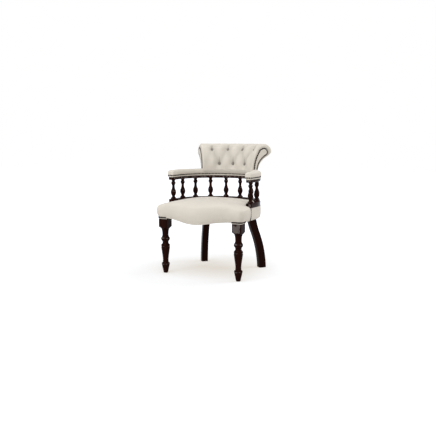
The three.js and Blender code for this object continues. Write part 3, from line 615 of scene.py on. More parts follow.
def square_reach(angle, half, corner):
    """How far a square with rounded corners reaches in each direction: the flat side's distance over
    the cosine, or on a corner the far root of the ray and the corner's circle."""
    turned = np.mod(angle + math.pi / 4, math.pi / 2) - math.pi / 4
    flat = half / np.cos(turned)
    middle = half - corner
    off = math.pi / 4 - np.abs(turned)
    centre = middle * math.sqrt(2)
    inside = corner**2 - (centre * np.sin(off)) ** 2
    rounded = centre * np.cos(off) + np.sqrt(np.maximum(inside, 0))
    on_corner = np.abs(flat * np.sin(turned)) > middle
    return np.where(on_corner, rounded, flat)


# Outlines of the turned part between its sharp edges: (height, radius) as shares.
LEG_TABLES = [
    [
        (0, 0.43), (0.012, 0.5), (0.031, 0.545), (0.09, 0.665), (0.158, 0.81), (0.21, 0.905), (0.227, 0.873),
        (0.241, 0.71), (0.261, 0.604),
    ],
    [(0.261, 0.604), (0.275, 0.66), (0.292, 0.61)],
    [(0.292, 0.61), (0.361, 0.665), (0.46, 0.8), (0.56, 0.942), (0.591, 0.985)],
    [(0.591, 0.985), (0.604, 0.925), (0.609, 0.925)],
    [(0.609, 0.925), (0.632, 0.99), (0.653, 0.925)],
    [
        (0.653, 0.925), (0.677, 0.72), (0.701, 0.655), (0.725, 0.705), (0.746, 0.84), (0.78, 0.992),
        (0.804, 0.96), (0.832, 0.785), (0.866, 0.687),
    ],
    [(0.866, 0.687), (0.948, 0.725), (0.979, 0.785), (1, 0.865)],
]
LEG_RADIUS = 29.6 * MM
# Polish wear and painted highlights on the legs' ridges: (height, width) as shares.
LEG_WEAR_AND_SHEEN = [(0.205, 0.016), (0.615, 0.016), (0.80, 0.02)]
# The flare under the block: (height, radius) in millimetres.
LEG_FLARE = [(291, 23.8), (294, 25.4), (297, 28), (300, 31), (303, 34.6), (306, 38.6), (308.5, 43)]
BLOCK_FULL = 2.6 * MM  # how far the block's faces stand outside the solid's
BLOCK_CORNER = 2.4 * MM


def wear_and_sheen_bells(share, places):
    """How far the polish is worn and painted with highlights at heights given as shares: one bell at each
    (place, width).
    """
    return np.max([bell(share - place, width) for place, width in places], axis=0)


def front_leg_points(x, y):
    """Turned up to the shoulder, where the outline flares until the square block's sides cut it, then
    the block. At each height the reach is the lesser of the turned radius and the square's. The
    turning's ridges get polish wear with painted highlights, and a painted reflection lightens the front of
    the block on +X."""
    turned_top = BLOCK_BOTTOM - SHOULDER
    beyond_block = 1.0
    outlines = [np.stack(turning(table, 6))[:, k > 0 :] for k, table in enumerate(LEG_TABLES)]
    up, out = np.concatenate(outlines, 1)
    flare = through(LEG_FLARE, 5)[1:] * MM
    block = [FRAME_TOP - 4 * MM, FRAME_TOP - 2 * MM]
    z = np.concatenate([[0], up * turned_top, flare[:, 0], block])[:, None]
    out = np.concatenate([[0.3 * out[0]], out]) * LEG_RADIUS
    radius = np.concatenate([out, flare[:, 1], [beyond_block, beyond_block]])
    angle = sided_angles()
    reach = np.minimum(radius[:, None], square_reach(angle, LEG_HALF + BLOCK_FULL, BLOCK_CORNER))
    reach[-1] *= 0.96
    points = stacked(x + reach * np.cos(angle), y + reach * np.sin(angle), z)
    # A painted reflection on the front face of the block on +X
    painted_block_reflection = (x > 0) * 1.35 * np.clip((z - turned_top - 8 * MM) / (8 * MM), 0, 1)
    wear_and_sheen = np.maximum(wear_and_sheen_bells(z / turned_top, LEG_WEAR_AND_SHEEN), painted_block_reflection * (np.sin(angle) < -0.75))
    return points, stacked(z, angle * LEG_RADIUS), wear_and_sheen


def rounded_box(half_x, half_y, radius, first):
    """A rectangle with rounded corners, anticlockwise: a quarter circle at each corner, the first one
    starting in a given direction."""
    count = 6
    quarter = first + np.linspace(0, math.pi / 2, count)
    turn = np.concatenate([quarter + k * math.pi / 2 for k in range(4)])
    corner = np.repeat(first + math.pi / 4 + np.arange(4) * math.pi / 2, count)
    x = np.sign(np.cos(corner)) * (half_x - radius) + radius * np.cos(turn)
    y = np.sign(np.sin(corner)) * (half_y - radius) + radius * np.sin(turn)
    return x, y


# The bow of the back legs: (height, how far in), as shares from the foot to the frame's lower edge.
BOW_SHARES = [
    (0, 0), (0.12, 0.035), (0.27, 0.125), (0.43, 0.27), (0.58, 0.47), (0.73, 0.71), (0.86, 0.875), (1, 1),
]
BACK_LEG_ANGLE = math.radians(40)
BACK_FOOT_RADIUS = 352 * MM
BACK_POST_RADIUS = FRAME_X - 30 * MM
NOTCH_RADIUS = FRAME_X - 26.5 * MM


def back_leg_points(side):
    """A rounded rectangle carried up the bow: its middle leans in from the foot to the post as a
    curve through measured places, and above the frame's lower edge its outer part is notched. The
    foot's lower edge is eased."""
    top = [(1, 1), (FRAME_TOP / FRAME_BOTTOM - 0.006, 1)]
    up, inward = np.vstack([[(0, 0)], through(BOW_SHARES, 6), top]).T
    z = up * FRAME_BOTTOM
    grown, eased, bevel = np.minimum(up, 1), 1.2 * MM, 3 * MM
    wide = mix(45, 46, grown) * MM / 2
    deep = mix(48, 53, grown) * MM / 2
    wide[0] -= eased
    deep[0] -= eased
    z[1] += eased
    along, aside = rounded_box(deep[:, None], wide[:, None], bevel, 0)
    radial = mix(BACK_FOOT_RADIUS, BACK_POST_RADIUS, inward)[:, None] + along
    radial[-2:] = np.minimum(radial[-2:], NOTCH_RADIUS)
    sine, cosine = math.sin(BACK_LEG_ANGLE), math.cos(BACK_LEG_ANGLE)
    x = side * (radial * sine + aside * cosine)
    y = CENTRE_Y + radial * cosine - aside * sine
    points = stacked(x, y, z[:, None])
    return points, laid(z[:, None], points)


def even_runs(half_length, end, step):
    """Runs from one end to the other, close together near both ends: there the distance from the end
    grows as one minus a cosine."""
    near = end * (1 - np.cos(np.linspace(0, math.pi / 2, 9)))
    count = int(2 * (half_length - end) / step)
    middle = np.linspace(-half_length + end, half_length - end, count)
    return np.concatenate([-half_length + near[:-1], middle, half_length - near[-2::-1]])


def rounded_width(run, half_length, half, radius):
    """The share of its width that a rail keeps near an end that is rounded in plan by a radius."""
    left = np.minimum(half_length - np.abs(run), radius)
    trim = radius - np.sqrt(np.maximum(radius**2 - (radius - left) ** 2, 0))
    return (half - trim) / half


def rail_points(bottom, top, inner_reflection_share):
    """The rounded slab carried along the gallery; it narrows round its ends, and over the last few
    millimetres it also thins, so that the end's edges are eased. Its ends get polish wear with
    painted highlights, and a painted reflection lightens its inner face by a given share."""
    edge, end_radius, eased = 5 * MM, 14 * MM, 3 * MM
    half, tall, middle = RAIL_WIDTH / 2, (top - bottom) / 2, (bottom + top) / 2
    reach, up = rounded_box(half, tall, edge, -math.pi / 2)
    run = even_runs(RAIL_RUN, end_radius, 6 * MM)[:, None]
    left = RAIL_RUN - np.abs(run)
    wide = rounded_width(run, RAIL_RUN, half, end_radius)
    thin = 1 - eased / tall * (1 - quarter_rise(np.clip(left / (4 * MM), 0, 1)))
    points = on_gallery(run, reach * wide, middle + up * thin)
    # Polish wear with painted highlights at the ends, and a painted reflection on the inner face
    wear_and_sheen = np.maximum(0.8 * bell(left, 9 * MM), inner_reflection_share * (reach < -0.8 * half))
    return points, laid(run, points), wear_and_sheen


# A spindle between the rails: (height, radius) as shares.
SPINDLE_TABLE = [
    (0, 1), (0.03, 1.0), (0.05, 0.95), (0.08, 0.68), (0.14, 0.54), (0.23, 0.8), (0.33, 0.97), (0.42, 0.89),
    (0.52, 0.62), (0.63, 0.47), (0.72, 0.5), (0.77, 0.71), (0.83, 0.79), (0.88, 0.7), (0.915, 0.54),
    (0.95, 0.6), (1, 0.78),
]
SPINDLE_RADIUS = 18.6 * MM
SPINDLE_PITCH = 110.3 * MM
# Polish wear and painted highlights on the spindles' ridges: (height, width) as shares.
SPINDLE_WEAR_AND_SHEEN = [(0.04, 0.02), (0.4, 0.035), (0.845, 0.025)]


def spindle_points(run, bottom, top, sides):
    """The spindle's outline turned about an upright axis on the rails' middle line, with a narrower
    tenon a millimetre into each rail."""
    up, radius = turning(SPINDLE_TABLE, 6)
    z = np.concatenate([[bottom - MM, bottom], mix(bottom, top, up), [top, top + MM]])[:, None]
    radius = np.concatenate([[0.4, 0.4], radius, [0.4, 0.4]])[:, None] * SPINDLE_RADIUS
    angle = np.linspace(0, 2 * math.pi, sides, endpoint=False)
    x, y, _ = on_gallery(run, 0, 0)
    points = stacked(x + radius * np.cos(angle), y + radius * np.sin(angle), z)
    # Polish wear with painted highlights on the ridges
    wear_and_sheen = wear_and_sheen_bells((z - bottom) / (top - bottom), SPINDLE_WEAR_AND_SHEEN)
    return points, stacked(z, run + angle * SPINDLE_RADIUS), wear_and_sheen


# ---- Seat ----

BOW_DEPTH = 63 * MM  # how far the cover's front stands ahead of the legs
EDGE_DIP = 21 * MM  # how far its lower edge dips in the middle
SEAT_BULGE = 21 * MM
BAND_BULGE = 11.3 * MM  # the cover's bulge where it meets the band
SEAT_CORNER = 12 * MM
ROLL = 20 * MM
CROWN_Y = CENTRE_Y - 32 * MM
CROWN_Z = 495 * MM
DOME_EDGE_Z = 453 * MM
DOME_HALF_WIDTH = 300 * MM
SEAM_Y = RAIL_LOW.y - GAP


def bow_at(x):
    """1 in the middle of the bowed front, falling as a cosine to 0 at the legs."""
    return np.maximum(np.cos(x / (LEG_X - LEG_HALF) * math.pi / 2), 0)


def bow_front(x):
    """The front of the cover's foot: a power of a cosine ahead of the legs' front faces, taken as the
    mean over 40 mm to both sides, as the stuffing bridges the hollow beside each leg."""
    near = np.asarray(x)[..., None] + np.linspace(-40, 40, 17) * MM
    return LEG_LOW.y - BOW_DEPTH * (bow_at(near) ** 1.22).mean(-1)


def dome_height(x, y):
    """The seat's height over a place in plan: a product of one fall across and one fall along, the
    last one fuller ahead of the crown than behind it."""
    ahead = y < CROWN_Y
    length, power = np.where(ahead, 283 * MM, 300 * MM), np.where(ahead, 3.4, 2.5)
    across = np.maximum(1 - np.abs(x / DOME_HALF_WIDTH) ** 2.6, 0)
    along = np.maximum(1 - np.abs((y - CROWN_Y) / length) ** power, 0)
    return mix(DOME_EDGE_Z, CROWN_Z, across * along)


# The rolls below the dome: (how far out, how high), as shares of the bulge and of the height.
FRONT_ROLL = [
    (-1.2, 1), (-0.19, 0.99), (0.3, 0.955), (0.74, 0.86), (0.97, 0.68), (1, 0.49), (0.81, 0.26),
    (0.48, 0.11), (0.14, 0),
]
BACK_ROLL = [
    (-0.95, 1), (-0.4, 0.995), (-0.1, 0.97), (0, 0.86), (0, 0.7), (0, 0.5), (0, 0.33), (0, 0.16), (0, 0),
]
# The band's outer face: (how far out, how high), as shares of its standout and of its height.
BAND_CURVE = [(0.18, 0), (0.6, 0.06), (0.88, 0.2), (1, 0.4), (1, 0.75), (0.93, 1)]
BAND_STAND = 11 * MM


def seat_outline():
    """Columns round the seat in plan: [x, y, outward x, outward y, dip, bulge, front share]. They
    follow the bowed front, a small corner and the side to the seam, then step inside the lower rail
    and go round the back; the other half is the mirror image."""
    inner = RADIUS - RAIL_WIDTH / 2 - GAP
    split = LEG_X - LEG_HALF + 6 * MM
    x = np.concatenate([np.linspace(0, split, 60), np.linspace(split, FRAME_X - SEAT_CORNER, 9)[1:]])
    slope = (bow_front(x + 2 * MM) - bow_front(x - 2 * MM)) / (4 * MM)
    size = np.hypot(slope, 1)
    front = stacked(x, bow_front(x), slope / size, -1 / size, EDGE_DIP * bow_at(x) ** 2.77, SEAT_BULGE, 1)
    angle = np.radians(np.linspace(-90, 0, 11))[1:]
    out_x, out_y = np.cos(angle), np.sin(angle)
    corner_x, corner_y = FRAME_X - SEAT_CORNER, LEG_LOW.y + SEAT_CORNER
    round_x, round_y = corner_x + SEAT_CORNER * out_x, corner_y + SEAT_CORNER * out_y
    turn = stacked(round_x, round_y, out_x, out_y, 0, SEAT_BULGE, 1)
    share = np.linspace(0, 1, 26)[1:]
    side = stacked(FRAME_X, mix(corner_y, SEAM_Y, share), 1, 0, 0, mix(SEAT_BULGE, BAND_BULGE, share**2), 1)
    step = np.linspace(0, 1, 9)[1:-1]
    across = stacked(mix(FRAME_X, inner, step), SEAM_Y, 1, 0, 0, mix(BAND_BULGE, 0, step), 1 - step)
    arm = stacked(inner, np.linspace(SEAM_Y, CENTRE_Y, 12)[:-1], 1, 0, 0, 0, 0)
    angle = np.linspace(math.pi / 2, 0, 60)
    out_x, out_y = np.sin(angle), np.cos(angle)
    back = stacked(inner * out_x, CENTRE_Y + inner * out_y, out_x, out_y, 0, 0, 0)
    half = np.concatenate([front, turn, side, across, arm, back])
    other = half[-2:0:-1] * np.array([-1, 1, -1, 1, 1, 1, 1])
    return np.concatenate([half, other])


def seat_points():
    """The cover, column by column: from the crown out to the shoulder on the dome, down a roll whose
    places are shares of the bulge and of the height, under the frame's edge and back over the
    webbing to the middle. The bulge lessens by a tenth at the front corners, and shade is painted
    along the seam with the band."""
    columns = seat_outline()
    x, y, nx, ny, dip, bulge, front = (columns[:, k : k + 1] for k in range(7))
    bulge = bulge * (1 - 0.1 * bell(np.hypot(np.abs(x) - FRAME_X, y - LEG_LOW.y), 30 * MM))
    shoulder = mix(ROLL, FRAME_REACH + RAIL_WIDTH / 2 + ROLL, front)
    base_x, base_y = x - nx * shoulder, y - ny * shoulder
    share = np.linspace(0, 1, 44)
    top_x, top_y = base_x * share, mix(CROWN_Y, base_y, share)
    top = stacked(top_x, top_y, dome_height(top_x, top_y))
    walls = []
    for table, low, inward in ((BACK_ROLL, STUFFING_BOTTOM, ROLL), (FRONT_ROLL, COVER_EDGE - dip, 21 * MM)):
        out, up = through(table, 5).T
        reach = np.where(out < 0, out * inward, out * bulge)
        over = np.minimum(out, 0) * ROLL
        high = dome_height(x + nx * over, y + ny * over)
        walls.append(stacked(x + nx * reach, y + ny * reach, mix(low, high, np.clip(up, 0, 1))))
    wall = mix(*walls, front[..., None])
    low = mix(STUFFING_BOTTOM, COVER_EDGE - dip, front)
    tuck = 3 * MM * front
    inside_x, inside_y = x - nx * tuck, y - ny * tuck
    inside = stacked(inside_x, inside_y, np.concatenate([low, STUFFING_BOTTOM + 0 * low], 1))
    shares = np.array([0.6, 0.2, 0.0])
    floor = stacked(inside_x * shares, mix(SEAM_Y, inside_y, shares), STUFFING_BOTTOM)
    outer = np.concatenate([top, wall], 1)
    down = np.arange(outer.shape[1]) - share.size
    lean = np.clip(2 * down / wall.shape[1], 0, 1) * math.pi / 2
    normal = stacked(nx * np.sin(lean), ny * np.sin(lean), np.cos(lean))
    fade = np.ones(down.size)
    fade[:3] = [0, 0.3, 0.7]
    fade[-12:] = np.linspace(1, 0, 12)
    outer = outer + normal * (waves(outer, 0.16, 0.9 * MM, 4) * fade)[..., None]
    points = np.concatenate([outer, inside, floor], 1)
    pairs = ((top_x, base_x), (top_y, base_y))
    plan_x, plan_y = (np.concatenate([near, far + 0 * wall[..., 0]], 1) for near, far in pairs)
    extra = np.maximum(lengths(outer, 1) - np.hypot(plan_x, plan_y - CROWN_Y), 0) * (down >= 0)
    pattern = stacked(plan_x + nx * extra, plan_y + ny * extra)
    beside = np.clip((np.abs(points[..., 0]) - FRAME_X) / (4 * MM) + 1, 0, 1)
    # Painted shade along the seam with the band
    painted_shade = 0.95 * beside * bell(points[..., 1] - SEAM_Y, 4 * MM)
    return points, np.concatenate([pattern, points[:, down.size :, :2]], 1), painted_shade


def band_points():
    """The band's section, tucked in at its foot and swelling to its full standout, carried along the
    gallery outside the frame."""
    inner, top = FRAME_REACH + GAP, STUFFING_BOTTOM - GAP
    out, up = through(BAND_CURVE, 5).T
    out = np.concatenate([[0, 0], out])
    z = np.concatenate([[top, COVER_EDGE], mix(COVER_EDGE, top, up)])
    run = even_runs(RAIL_RUN, 6 * MM, 5 * MM)[:, None]
    left = RAIL_RUN - np.abs(run)
    reach = inner + BAND_STAND * out
    fade = np.clip(out, 0, 1) * np.clip(left / (30 * MM), 0, 1)
    points = on_gallery(run, reach + waves(on_gallery(run, reach, z), 0.12, 0.7 * MM, 9) * fade, z)
    # Painted shade along the seams at the band's ends
    return points, laid(run, points), 0.9 * bell(left, 4 * MM)


# ---- Arm pad ----

PAD_REACH = 24.5 * MM
PAD_RUN = RAIL_RUN + 5 * MM
PAD_TALL = 48 * MM
PAD_END = 13 * MM  # the radius of its ends in plan
NAIL_UP = 11 * MM
NAIL_WAIST = 0.857
NAIL_LINE = PAD_BOTTOM + NAIL_UP
# Half of the pad's section: (how far out, how high), as shares.
PAD_SECTION = [
    (0, 0), (0.5, 0), (0.8, 0), (0.845, 0.03), (NAIL_WAIST, 0.12), (NAIL_WAIST, 0.2), (0.852, 0.235),
    (0.9, 0.3), (0.975, 0.4), (1.0, 0.52), (0.985, 0.64), (0.92, 0.765), (0.79, 0.875), (0.6, 0.947),
    (0.33, 0.987), (0, 1),
]


def pad_section():
    """The arm pad across: an upright band, a slight waist at the nails, then a full crown."""
    right = through(PAD_SECTION, 4)
    left = right[-2:0:-1] * np.array([-1, 1])
    return np.concatenate([right, left]).T


def pad_points():
    """The section carried along the gallery; round the ends it narrows in plan and its crown comes
    down, both as quarter circles. Beside the scroll back its inner foot is in shade."""
    out, up = pad_section()
    run = even_runs(PAD_RUN, 16 * MM, 5 * MM)[:, None]
    wide = rounded_width(run, PAD_RUN, PAD_REACH, PAD_END)
    crown = mix(0.7, 1, quarter_rise(np.clip((PAD_RUN - np.abs(run)) / (20 * MM), 0, 1)))
    line = NAIL_UP / PAD_TALL
    height = np.where(up > line, line + (up - line) * crown, up)
    points = on_gallery(run, PAD_REACH * out * wide, PAD_BOTTOM + PAD_TALL * height)
    points[..., 2] += waves(points, 0.14, 1.0 * MM, 21) * np.clip((up - 0.3) / 0.3, 0, 1)
    # Painted shade on the pad's inner foot beside the scroll back
    beside = np.clip((BACK_RUN + 8 * MM - np.abs(run)) / (25 * MM), 0, 1)
    painted_shade = 0.36 * beside * np.clip(0.5 - 2 * out, 0, 1) * np.clip(up / 0.25 - 0.8, 0, 1)
    return points, laid(run, points), painted_shade


# ---- Scroll back ----


SCROLL_STRETCH = 1.36  # how far the scroll's inner half is drawn out towards the sitter


def on_scroll(angle):
    """Places on the scroll: a circle on its outer half, and on its inner half the same circle drawn
    out towards the sitter by powers of the sine and the cosine."""
    power = 1.25
    out, up = np.cos(angle), np.sin(angle)
    inner = -SCROLL_STRETCH * np.maximum(-out, 0) ** power
    reach = SCROLL_REACH + SCROLL_RADIUS * np.where(out > 0, out, inner)
    z = SCROLL_Z + SCROLL_RADIUS * np.where(out > 0, up, np.abs(up) ** power)
    return stacked(reach, z)


def core_contour():
    """The wooden core's contour, from the foot of its inner face over the scroll to the foot of its
    outer face: reach, height, outward direction, the padding's thickness and the length from the
    start, every half millimetre. The inner face leans out as a power of its height, the outer face
    flares as a power, and one smooth curve goes through places on them and on the scroll. The
    padding is 8 mm thick at its inner foot, 22 mm where the scroll begins, 29 mm over the top, up to
    5.4 mm fuller beyond it, 17 mm at the scroll's end and 7.5 mm at the outer foot."""
    foot = PAD_BOTTOM
    up = np.array([0, 0.15, 0.3, 0.45, 0.6, 0.73, 0.85])
    tip = SCROLL_REACH - SCROLL_STRETCH * SCROLL_RADIUS
    leaning = mix(CORE_FOOT_REACH, tip, up**2.8)
    inner = stacked(leaning, mix(foot, SCROLL_Z, up), mix(8, 22, np.sqrt(up)) * MM)
    angle = np.radians([149, 126, 103, 80, 55, 30, 5, -15, -35])
    scroll = on_scroll(angle)
    end = scroll[-1]
    high = (scroll[:, 1] - SCROLL_Z) / SCROLL_RADIUS
    before = mix(22, 29, high)
    after = mix(17, 29, np.clip((scroll[:, 1] - end[1]) / (SCROLL_Z - end[1]), 0, 1))
    full = [0, 0, 0, 1, 3.2, 5.2, 5.4, 3.4, 0]
    scroll = np.column_stack([scroll, (np.where(np.cos(angle) < 0, before, after) + full) * MM])
    down = np.array([0.09, 0.2, 0.32, 0.46, 0.62, 0.8, 1])
    flared = mix(CORE_FOOT_REACH + CORE_FOOT, end[0], (1 - down) ** 3.4)
    outer = stacked(flared, mix(end[1], foot, down), mix(7.5, 17, (1 - down) ** 2) * MM)
    curve = through(np.concatenate([inner, scroll, outer]), 30)
    length = lengths(curve[:, :2], 0)
    even = np.arange(0, length[-1], 0.5 * MM)
    reach, z, thick = (np.interp(even, length, column) for column in curve.T)
    slope = np.gradient(np.stack([reach, z]), axis=1)
    window = np.ones(13) / 13
    along, rise = (np.convolve(np.pad(row, 6, "edge"), window, "valid") for row in slope)
    size = np.hypot(along, rise)
    return stacked(reach, z, -rise / size, along / size, thick, even)


def on_contour(length):
    """The contour's columns at lengths along it."""
    table = core_contour()
    return np.stack([np.interp(length, table[:, 5], column) for column in table.T[:5]])


def length_at(z, after_top):
    """The length at which the contour passes a height, before its top or after it."""
    table = core_contour()
    top = int(np.argmax(table[:, 1]))
    part = table[top:][::-1] if after_top else table[:top]
    return float(np.interp(z, part[:, 1], part[:, 5]))


BUTTON_PITCH = math.radians(20.6)
LOW_SHARE = 0.49  # height of the low buttons, as a share of the scroll's
HIGH_ANGLE = math.radians(149)  # place of the high buttons on the scroll
SEAM_DOWN = 0.2  # where the padding ends, as a share of the way down the outer face
PANEL_DOWN = 0.86


def down_outside(share):
    """A height on the core's outer face, by the share of the way down from the scroll's end."""
    return mix(SCROLL_Z + SCROLL_RADIUS * math.sin(SCROLL_END), PAD_BOTTOM, share)


def button_places():
    """Three buttons in the low row and four in the high one, set between each other: the angle round
    the back and the length along the contour."""
    low = length_at(mix(PAD_BOTTOM, SCROLL_Z, LOW_SHARE), False)
    high = length_at(on_scroll(HIGH_ANGLE)[1], False)
    places = [(i * BUTTON_PITCH, low) for i in (-1, 0, 1)]
    return places + [(i * BUTTON_PITCH, high) for i in (-1.5, -0.5, 0.5, 1.5)]


def tufting(angle, length):
    """How deep the tufting draws the padding in, and the shade painted on the cover. The pleats are
    the lines of a slanted lattice through the buttons: between them the padding swells as a power
    of the product of two sines, and round each button it falls to the bottom as a bell. Over the
    scroll the lattice fades out, and a pull mark runs up from each button: a long one from the low
    row, a short one from the high row. Shade is painted along the lattice, up the pull marks, in a
    dark ring round each button and along the back's foot."""
    scroll_fade, pull_width, shade_ring_width = 34 * MM, 9 * MM, 5 * MM
    tufts = bpy.context.scene.chair_tufts
    places = button_places()
    low, high = places[0][1], places[-1][1]
    across = angle / BUTTON_PITCH
    along = (length - low) / (2 * (high - low))
    swell = np.abs(np.sin(math.pi * (along + across)) * np.sin(math.pi * (along - across)))
    fade = np.clip(1 - (length - high) / scroll_fade, 0, 1)
    fade = fade * fade * (3 - 2 * fade) * np.clip(0.15 + length / low, 0, 1)
    fade = fade * mix(0.35, 1, np.clip((1.72 - np.abs(across)) / 0.4, 0, 1))
    pleat = tufts.pleat_depth * fade * (1 - swell**tufts.fullness)
    # Painted shade along the lattice's pleats
    painted_shade = 0.3 * fade * (1 - swell**0.85) * np.clip(2 * length / low - 1, 0.2, 1)
    # Painted shade along the back's foot
    painted_shade = np.maximum(painted_shade, 0.3 * bell(length, 20 * MM))
    edge = 0.45 * tufts.button_diameter
    well = 0
    for a, s in places:
        tail, narrow = (52 * MM, 1) if s == low else (26 * MM, 1.45)
        # The last button gets a fainter ring of painted shade
        dark = 0.45 if a == places[-1][0] else 1  # the last button lies in the end's own shade
        x, y = (angle - a) * RADIUS, length - s
        pull = bell(x, pull_width) * np.sqrt(np.clip(1 - y / tail, 0, 1)) * (y > 0)
        dip = np.exp(-((np.maximum(np.hypot(x, y) - edge, 0) / tufts.well) ** 1.5))
        ring = bell(np.maximum(np.hypot(x * narrow, y) - 1.2 * edge, 0), shade_ring_width)
        well = np.maximum(well, np.maximum(dip, 0.35 * pull))
        # Painted shade in a ring round each button and up its pull mark
        painted_shade = np.maximum(painted_shade, np.maximum(dark * ring, 0.68 * pull))
    return 1 - (1 - pleat) * (1 - well), painted_shade


def back_angles(edge, step):
    """Angles across the back: even in the middle, and over the edge's width placed by a sine, with
    the share of the padding's thickness that the rounded edge leaves there, a cosine."""
    half = BACK_RUN - edge
    middle = np.linspace(-half, half, int(2 * half / step) + 1)
    turn = np.radians(np.linspace(0, 86, 12))[1:]
    out = half + edge * np.sin(turn)
    run = np.concatenate([-out[::-1], middle, out])
    left = np.concatenate([np.cos(turn)[::-1], np.ones_like(middle), np.cos(turn)])
    return run / RADIUS, left


def over_core(run, contour, height, every):
    """A closed section carried round the back: along the contour at a height over the core, and back
    half a millimetre off the core itself, by every so many places."""
    reach, z, out, up, _ = contour
    back = slice(None, None, -every)
    lift = 0.5 * MM
    reaches = [reach + out * height, reach[back] + out[back] * lift + 0 * run]
    heights = [z + up * height, z[back] + up[back] * lift + 0 * run]
    points = on_gallery(run, np.concatenate(reaches, 1), np.concatenate(heights, 1))
    return points, laid(run, points)


def padding_points():
    """The buttoned padding: the core's contour moved outwards by the padding's thickness, less what
    the tufting takes, round the inner face and the scroll, and back along the core itself. Between
    the pleats it is puffed up a little more, most of all at the height of the low buttons."""
    tufts = bpy.context.scene.chair_tufts
    step = bpy.context.scene.chair_detail.cloth_step
    seam = length_at(down_outside(SEAM_DOWN), True)
    length = np.linspace(0, seam, int(seam / step))
    contour = on_contour(length)
    angle, left = (column[:, None] for column in back_angles(12 * MM, step))
    depth, painted_shade = tufting(angle, length)
    full = contour[4] * mix(0.12, 1, left)
    low = button_places()[0][1]
    least, most_puff = 1.2 * MM, 2.4 * MM
    puff = most_puff * np.maximum(1 - (length / low - 1) ** 2, 0) * (1 - depth) * left
    height = np.maximum(full - depth * np.maximum(full - tufts.floor, 0), least) + puff
    points, pattern = over_core(angle * RADIUS, contour, height, 5)
    shade = np.zeros(points.shape[:2])
    # Painted shade: the tufting's, and more where the padding rounds off at its edges
    shade[:, : length.size] = painted_shade * left + 0.5 * (1 - left) ** 3
    return points, pattern, shade


def outside_panel_points():
    """The plain panel on the outer face, a little full between its edges, with its back on the core."""
    first, last = (length_at(down_outside(share), True) for share in (SEAM_DOWN + 0.004, PANEL_DOWN))
    contour = on_contour(np.linspace(first, last, 40))
    run = np.linspace(-BACK_RUN, BACK_RUN, 160)[:, None]
    across, down = np.maximum(1 - (run / BACK_RUN) ** 2, 0), np.linspace(0, math.pi, 40)
    full = 1.2 * MM * np.sin(down) * np.sqrt(across)
    left = np.clip((BACK_RUN - np.abs(run)) / (7 * MM), 0, 1)
    return over_core(run, contour, (contour[4] + full) * mix(0.25, 1, quarter_rise(left)), 4)


def facing_outline(stand):
    """The facing's outline in reach and height: the core's contour moved out by a distance."""
    reach, z, out, up, _ = on_contour(np.linspace(0, core_contour()[-1, 5], 150))
    return stacked(reach + out * stand, z + up * stand)


# Rings of a facing, from its back to its middle: how far it stands proud of the padding's end and
# outside the core's contour, in millimetres, and the shade painted on it round the nails.
FACING_RINGS = [
    (-8, 0.0, 0.4), (-0.5, 0.6, 0.8), (0.8, 0.6, 0.9), (1.7, -0.4, 0.9), (2.3, -2.0, 0.85), (2.7, -4.5, 0.35),
    (2.8, -6.8, 0.0),
]


def facing_points(side):
    """A thin stuffed panel in the plane across the padding's end: rings inset from the core's
    contour, each standing a little prouder than the one outside it."""
    points = []
    for proud, stand, _ in FACING_RINGS:
        points.append(on_gallery(side * (BACK_RUN + proud * MM), *facing_outline(stand * MM).T))
    # The rings' third column is painted shade round the nails
    return np.array(points), facing_outline(0), np.array(FACING_RINGS)[:, 2:]


def back_frame(angle, length, lift):
    """A place on the core's contour at an angle round the back, lifted off it, and its direction."""
    reach, z, out, up, _ = on_contour(length)
    spot = on_gallery(angle * RADIUS, reach + out * lift, z + up * lift)
    return spot, np.array([out * math.sin(angle), out * math.cos(angle), up])


# ---- Operators: one for each piece or group of like pieces ----


class CHAIR_OT_legs(bpy.types.Operator):
    """Turned front legs with square blocks, and bowed back legs"""

    bl_idname = "chair.legs"
    bl_label = "Legs"

    def execute(self, context):
        for side, name in SIDES:
            turned = front_leg_points(side * LEG_X, LEG_Y)
            dress(f"front_leg_{name}", f"turned_leg_{name}", turned, "mahogany", 28)
            dress(f"back_leg_{name}", f"bowed_leg_{name}", back_leg_points(side), "mahogany", 28)
        return {"FINISHED"}


class CHAIR_OT_rails(bpy.types.Operator):
    """The two horseshoe rails of the gallery"""

    bl_idname = "chair.rails"
    bl_label = "Gallery rails"

    def execute(self, context):
        # Each rail's last value is the share of painted reflection on its inner face
        rails = (("lower", RAIL_LOW, RAIL_HIGH, 0.5), ("upper", UPPER_LOW, UPPER_HIGH, 0.95))
        for name, low, high, inner_reflection_share in rails:
            dress(f"{name}_rail", f"gallery_rail_{name}", rail_points(low.z, high.z, inner_reflection_share), "mahogany", 35)
        return {"FINISHED"}


class CHAIR_OT_spindles(bpy.types.Operator):
    """Ten turned spindles between the rails"""

    bl_idname = "chair.spindles"
    bl_label = "Spindles"

    def execute(self, context):
        sides = context.scene.chair_detail.turned_sides
        for k in range(10):
            turned = spindle_points((k - 4.5) * SPINDLE_PITCH, RAIL_HIGH.z, UPPER_LOW.z, sides)
            dress(f"spindle_{k + 1}", f"turned_spindle_{k + 1}", turned, "mahogany", 35)
        return {"FINISHED"}


class CHAIR_OT_frame(bpy.types.Operator):
    """Finishes of the hidden frame, webbing and cloth, whose solids are shown as they are"""

    bl_idname = "chair.frame"
    bl_label = "Hidden frame"

    def execute(self, context):
        kinds = {"jute": ["webbing"], "cloth": ["dust_cover"]}
        kinds["beech"] = [f"seat_rail_{place}" for place in ("front", "left", "right", "back")]
        kinds["beech"] += ["corner_block_left", "corner_block_right", "back_core"]
        for key, names in kinds.items():
            for name in names:
                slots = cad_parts[name].data.materials
                slots.clear()
                slots.append(material_of(key))
        return {"FINISHED"}


